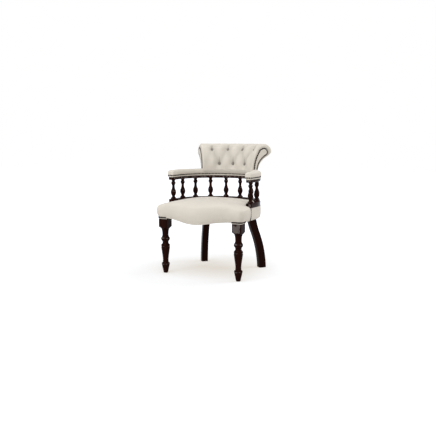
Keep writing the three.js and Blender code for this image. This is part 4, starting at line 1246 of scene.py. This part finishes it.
class CHAIR_OT_seat(bpy.types.Operator):
    """The domed seat cover and the band round its sides and back"""

    bl_idname = "chair.seat"
    bl_label = "Seat"

    def execute(self, context):
        dress("seat_cushion", "seat_cover", seat_points(), "linen", 50, (True, False))
        dress("seat_band", "seat_side_band", band_points(), "linen", 50)
        return {"FINISHED"}


class CHAIR_OT_arm_pad(bpy.types.Operator):
    """The padded arm rest along the whole upper rail"""

    bl_idname = "chair.arm_pad"
    bl_label = "Arm pad"

    def execute(self, context):
        dress("arm_pad", "arm_rest_pad", pad_points(), "linen", 60)
        return {"FINISHED"}


class CHAIR_OT_back(bpy.types.Operator):
    """The buttoned padding, the outside panel and the two facings of the scroll back"""

    bl_idname = "chair.back"
    bl_label = "Scroll back"

    def execute(self, context):
        dress("back_padding", "tufted_back_pad", padding_points(), "linen", 75)
        dress("back_outside_panel", "outside_back_panel", outside_panel_points(), "linen", 60)
        for side, name in SIDES:
            dress(f"scroll_facing_{name}", f"scroll_end_{name}", facing_points(side), "linen", 60)
        return {"FINISHED"}


class CHAIR_OT_buttons(bpy.types.Operator):
    """Seven covered buttons"""

    bl_idname = "chair.buttons"
    bl_label = "Buttons"

    def execute(self, context):
        tufts = context.scene.chair_tufts
        template, faces = dome_template(tufts.button_diameter / 2, 5.5 * MM, 28, 7)
        for k, (angle, length) in enumerate(button_places()):
            spot, way = back_frame(angle, length, tufts.floor + 1.4 * MM)
            name = f"button_{'low' if k < 3 else 'high'}_{k + 1}"
            button = copies(f"covered_{name}", template, faces, spot[None], way[None])
            mesh = button.data
            index = np.zeros(len(mesh.loops), int)
            mesh.loops.foreach_get("vertex_index", index)
            vertices = np.zeros(len(mesh.vertices) * 3)
            mesh.vertices.foreach_get("co", vertices)
            corners = vertices.reshape(-1, 3)[index]
            mesh.uv_layers.new(name="Weave").data.foreach_set("uv", corners[:, [0, 2]].ravel())
            # Painted shade: the buttons are darkened as if deep in their wells
            set_shade(mesh, 0.8)
            finish_piece(button, "linen", [name])
        return {"FINISHED"}


def pad_edge_line():
    """The closed line of nails round the arm pad: its edge in plan at the height of the nails."""
    run = even_runs(PAD_RUN, PAD_END, 3 * MM)
    reach = NAIL_WAIST * PAD_REACH * rounded_width(run, PAD_RUN, PAD_REACH, PAD_END)
    outer = on_gallery(run, reach, NAIL_LINE)
    inner = on_gallery(run[::-1], -reach[::-1], NAIL_LINE)
    return np.concatenate([outer, inner, outer[:1]])


def leg_nail_line(side):
    """The line of nails just above the seat cover's lower edge over a front leg's two outer faces,
    and its outward directions."""
    x, y, out_x, out_y = seat_outline().T[:4]
    over = (x * side > LEG_X - LEG_HALF + MM) & (y < LEG_HIGH.y - 2 * MM)
    order = np.argsort((x * side + 3 * np.maximum(y - LEG_LOW.y - 6 * MM, 0))[over])
    way = stacked(out_x, out_y, 0)[over][order]
    line = stacked(x, y, COVER_EDGE + 2.94 * MM)[over][order]
    return line + way * 7.6 * MM, way


def leg_braid_points(side):
    """A narrow braid over a front leg's block, under the cover's edge: a low rounded section carried
    along the two outer faces."""
    corner = 5 * MM
    face_x, face_y = FRAME_X + BLOCK_FULL, LEG_LOW.y - BLOCK_FULL  # the block's outer faces
    angle = np.radians(np.linspace(-90, 0, 9))
    front = np.linspace(LEG_X - LEG_HALF - BLOCK_FULL, face_x - corner, 12)[:-1]
    aside = np.linspace(face_y + corner, LEG_HIGH.y + BLOCK_FULL, 9)[1:]
    x = np.concatenate([front, face_x - corner + corner * np.cos(angle), face_x + 0 * aside])[:, None]
    y = np.concatenate([face_y + 0 * front, face_y + corner + corner * np.sin(angle), aside])[:, None]
    angle = np.concatenate([angle[0] + 0 * front, angle, angle[-1] + 0 * aside])[:, None]
    turn = np.linspace(0, 2 * math.pi, 12, endpoint=False)
    out, up = (1.2 + 1.6 * np.cos(turn)) * MM, (-4.2 + 2.6 * np.sin(turn)) * MM
    points = stacked(side * (x + out * np.cos(angle)), y + out * np.sin(angle), COVER_EDGE + up)
    return points, laid(lengths(points, 0).mean(1)[:, None], points)


def seam_line(side):
    """The upright seam at a side of the seat, from the lower rail down to the band's foot."""
    z = np.linspace(RAIL_LOW.z - 3 * MM, COVER_EDGE + 6 * MM, 40)
    share = np.clip((z - COVER_EDGE) / (RAIL_LOW.z - COVER_EDGE), 0, 1)
    out = np.interp(share, [0, 0.06, 0.2, 0.4, 1], [0.18, 0.6, 0.88, 1, 0.97])
    return on_gallery(side * (RAIL_RUN + 0.2 * MM), FRAME_REACH + GAP + BAND_STAND * out, z)


class CHAIR_OT_seams(bpy.types.Operator):
    """The stitched seams at the seat's sides and the braid over the front legs"""

    bl_idname = "chair.seams"
    bl_label = "Seams and braid"

    def execute(self, context):
        pitch = context.scene.chair_trim.stitch_pitch
        radius = 3.4 * MM
        template, faces = dome_template(radius, 1.8 * MM, 10, 3)
        template = template * np.array([0.38 * pitch / radius, 1, 1])
        for side, name in SIDES:
            places = even_places(seam_line(side), pitch)
            outward = np.broadcast_to([side, 0.0, 0.0], places.shape)
            places = places + outward * 0.3 * MM
            finish_piece(copies(f"seam_stitches_{name}", template, faces, places, outward), "thread")
            braid = closed_piece(f"leg_braid_{name}", *leg_braid_points(side))
            finish_piece(braid, "linen")
        return {"FINISHED"}


class CHAIR_OT_nails(bpy.types.Operator):
    """Close nailing round the arm pad and the facings, and over the front legs"""

    bl_idname = "chair.nails"
    bl_label = "Close nailing"

    def execute(self, context):
        trim = context.scene.chair_trim
        template, faces = dome_template(trim.nail_diameter / 2, 2.6 * MM, 12, 3)
        places = even_places(pad_edge_line(), trim.nail_pitch)[:-1]
        step = np.roll(places, -1, 0) - np.roll(places, 1, 0)
        outward = stacked(-step[:, 1], step[:, 0], 0)
        finish_piece(copies("arm_nails", template, faces, places, outward), "metal")
        for side, name in SIDES:
            spots = even_places(np.concatenate(leg_nail_line(side), 1), trim.nail_pitch)
            finish_piece(copies(f"leg_nails_{name}", template, faces, spots[:, :3], spots[:, 3:]), "metal")
        template, faces = dome_template(trim.facing_nail_diameter / 2, 2.2 * MM, 12, 3)
        line = facing_outline(-1.6 * MM)
        line = line[line[:, 1] > PAD_BOTTOM + 40 * MM]
        spots = even_places(line, trim.facing_nail_diameter * 1.03)
        for side, name in SIDES:
            places = on_gallery(side * (BACK_RUN + 1.6 * MM), *spots.T)
            outward = np.broadcast_to([side * math.cos(BACK_END), -math.sin(BACK_END), 0.0], places.shape)
            finish_piece(copies(f"facing_nails_{name}", template, faces, places, outward), "metal")
        return {"FINISHED"}


# ---- Stage ----

CAMERA_PLACE = (1.87555, CENTRE_Y - 3.505154, 0.89427)
CAMERA_TARGET = (0.0082, CENTRE_Y + 0.038, 0.3552)
FLOOR_HALF = 12
BOUNCE_TONE = (0.80, 0.785, 0.76)
# Middle of the painted part of the floor's shadow: the glow is weakest round it
SHADOW_MIDDLE = (-0.12, -0.22, 0)


def aimed(name, data, place, target):
    """An object at a place, looking towards a target."""
    item = bpy.data.objects.new(name, data)
    item.location = place
    item.rotation_euler = (Vector(target) - Vector(place)).to_track_quat("-Z", "Y").to_euler()
    bpy.context.scene.collection.objects.link(item)
    return item


def area_light(name, place, target, size, power):
    """A square lamp of this size in metres and power in watts."""
    data = bpy.data.lights.new(name, "AREA")
    data.shape = "SQUARE"
    data.size = size
    data.energy = power
    return aimed(name, data, place, target)


def seen_rays(tree):
    """1 for camera, glossy and transmission rays, which see the white background, else 0."""
    path = add_node(tree, "ShaderNodeLightPath")
    first = math_node(tree, "MAXIMUM", path.outputs["Is Camera Ray"], path.outputs["Is Transmission Ray"])
    return math_node(tree, "MAXIMUM", first, path.outputs["Is Glossy Ray"])


def floor_material(stage):
    """A white floor that keeps a soft shadow: what the camera sees is a slightly cool diffuse part
    and a warm glow, which grows with the distance from the shadow's middle so that the floor stays
    white where the lamps fade. The lamps' shadow shows through, and the glow's falloff and warm tint
    paint part of the shadow's depth and its warmth. Light that bounces off the floor is nearly neutral."""
    material = bpy.data.materials.new("pale_floor")
    tree = empty_tree(material)
    seen = seen_rays(tree)
    tone = mixed_colour(tree, seen, BOUNCE_TONE, tuple(stage.floor_tone))
    lit = add_node(tree, "ShaderNodeBsdfDiffuse", {"Color": tone})
    inputs = {0: object_place(tree), 1: SHADOW_MIDDLE}
    far = add_node(tree, "ShaderNodeVectorMath", inputs, operation="DISTANCE").outputs["Value"]
    inputs = {"Value": far, "From Min": 0.3, "From Max": 1.8}
    share = add_node(tree, "ShaderNodeMapRange", inputs).outputs[0]
    # Painted shadow: a warm, weaker glow near the shadow's middle
    glow_tone = mixed_colour(tree, share, tuple(stage.shadow_tone), (1.0, 1.0, 1.0))
    glow = add_node(tree, "ShaderNodeEmission", {"Color": glow_tone, "Strength": seen})
    both = add_node(tree, "ShaderNodeAddShader", {0: lit.outputs[0], 1: glow.outputs[0]})
    add_node(tree, "ShaderNodeOutputMaterial", {"Surface": both.outputs[0]})
    return material


class CHAIR_OT_stage(bpy.types.Operator):
    """Pale floor, soft lights, the room's even light and the camera"""

    bl_idname = "chair.stage"
    bl_label = "Stage"

    def execute(self, context):
        scene = context.scene
        stage = scene.chair_stage
        mesh = bpy.data.meshes.new("floor")
        corners = [(x * FLOOR_HALF, y * FLOOR_HALF, 0) for x, y in ((-1, -1), (1, -1), (1, 1), (-1, 1))]
        mesh.from_pydata(corners, [], [(0, 1, 2, 3)])
        mesh.materials.append(floor_material(stage))
        floor = bpy.data.objects.new("floor", mesh)
        scene.collection.objects.link(floor)

        scene.world = bpy.data.worlds.new("room")
        tree = empty_tree(scene.world)
        level = ranged(tree, seen_rays(tree), stage.room_level, 1.0)
        sky = add_node(tree, "ShaderNodeBackground", {"Color": (1, 1, 1, 1), "Strength": level})
        add_node(tree, "ShaderNodeOutputWorld", {"Surface": sky.outputs[0]})

        area_light("overhead", (0.0, -1.3, 2.9), (0, 0, 0.4), 2.6, stage.key_power)
        area_light("front_left", (-1.3, -2.9, 0.55), (0.1, 0, 0.4), 0.3, stage.left_power)
        side = area_light("right", (2.9, 2.1, 1.7), (0, 0, 0.5), 1.8, stage.right_power)
        side.visible_glossy = False

        data = bpy.data.cameras.new("camera")
        data.lens = stage.lens
        data.sensor_width = 36
        scene.camera = aimed("camera", data, CAMERA_PLACE, CAMERA_TARGET)
        scene.view_settings.view_transform = "Standard"
        return {"FINISHED"}


class CHAIR_PT_sidebar(bpy.types.Panel):
    """Lists the chair's settings and its pieces"""

    bl_idname = "CHAIR_PT_sidebar"
    bl_label = "Captains Chair"
    bl_space_type = "VIEW_3D"
    bl_region_type = "UI"
    bl_category = "Chair"

    def draw(self, context):
        for name, kind in GROUPS.items():
            box = self.layout.box()
            for key in kind.__annotations__:
                box.prop(getattr(context.scene, name), key)
        for operator in OPERATORS:
            self.layout.operator(operator.bl_idname)


OPERATORS = (
    CHAIR_OT_stage,
    CHAIR_OT_legs,
    CHAIR_OT_rails,
    CHAIR_OT_spindles,
    CHAIR_OT_frame,
    CHAIR_OT_seat,
    CHAIR_OT_arm_pad,
    CHAIR_OT_back,
    CHAIR_OT_buttons,
    CHAIR_OT_seams,
    CHAIR_OT_nails,
)
GROUPS = {
    "chair_finish": ChairFinish,
    "chair_trim": ChairTrim,
    "chair_tufts": ChairTufts,
    "chair_detail": ChairDetail,
    "chair_stage": ChairStage,
}


def register():
    """Adds the sidebar's settings, the operators and the panel."""
    for group in GROUPS.values():
        bpy.utils.register_class(group)
    for name, group in GROUPS.items():
        setattr(bpy.types.Scene, name, PointerProperty(type=group))
    for kind in (*OPERATORS, CHAIR_PT_sidebar):
        bpy.utils.register_class(kind)


def unregister():
    """Takes them away again."""
    for kind in reversed((*OPERATORS, CHAIR_PT_sidebar)):
        bpy.utils.unregister_class(kind)
    for name, group in GROUPS.items():
        delattr(bpy.types.Scene, name)
        bpy.utils.unregister_class(group)


def main():
    """Registers the classes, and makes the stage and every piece."""
    register()
    bpy.ops.chair.stage()
    bpy.ops.chair.legs()
    bpy.ops.chair.rails()
    bpy.ops.chair.spindles()
    bpy.ops.chair.frame()
    bpy.ops.chair.seat()
    bpy.ops.chair.arm_pad()
    bpy.ops.chair.back()
    bpy.ops.chair.buttons()
    bpy.ops.chair.seams()
    bpy.ops.chair.nails()


if __name__ == "__main__":
    main()
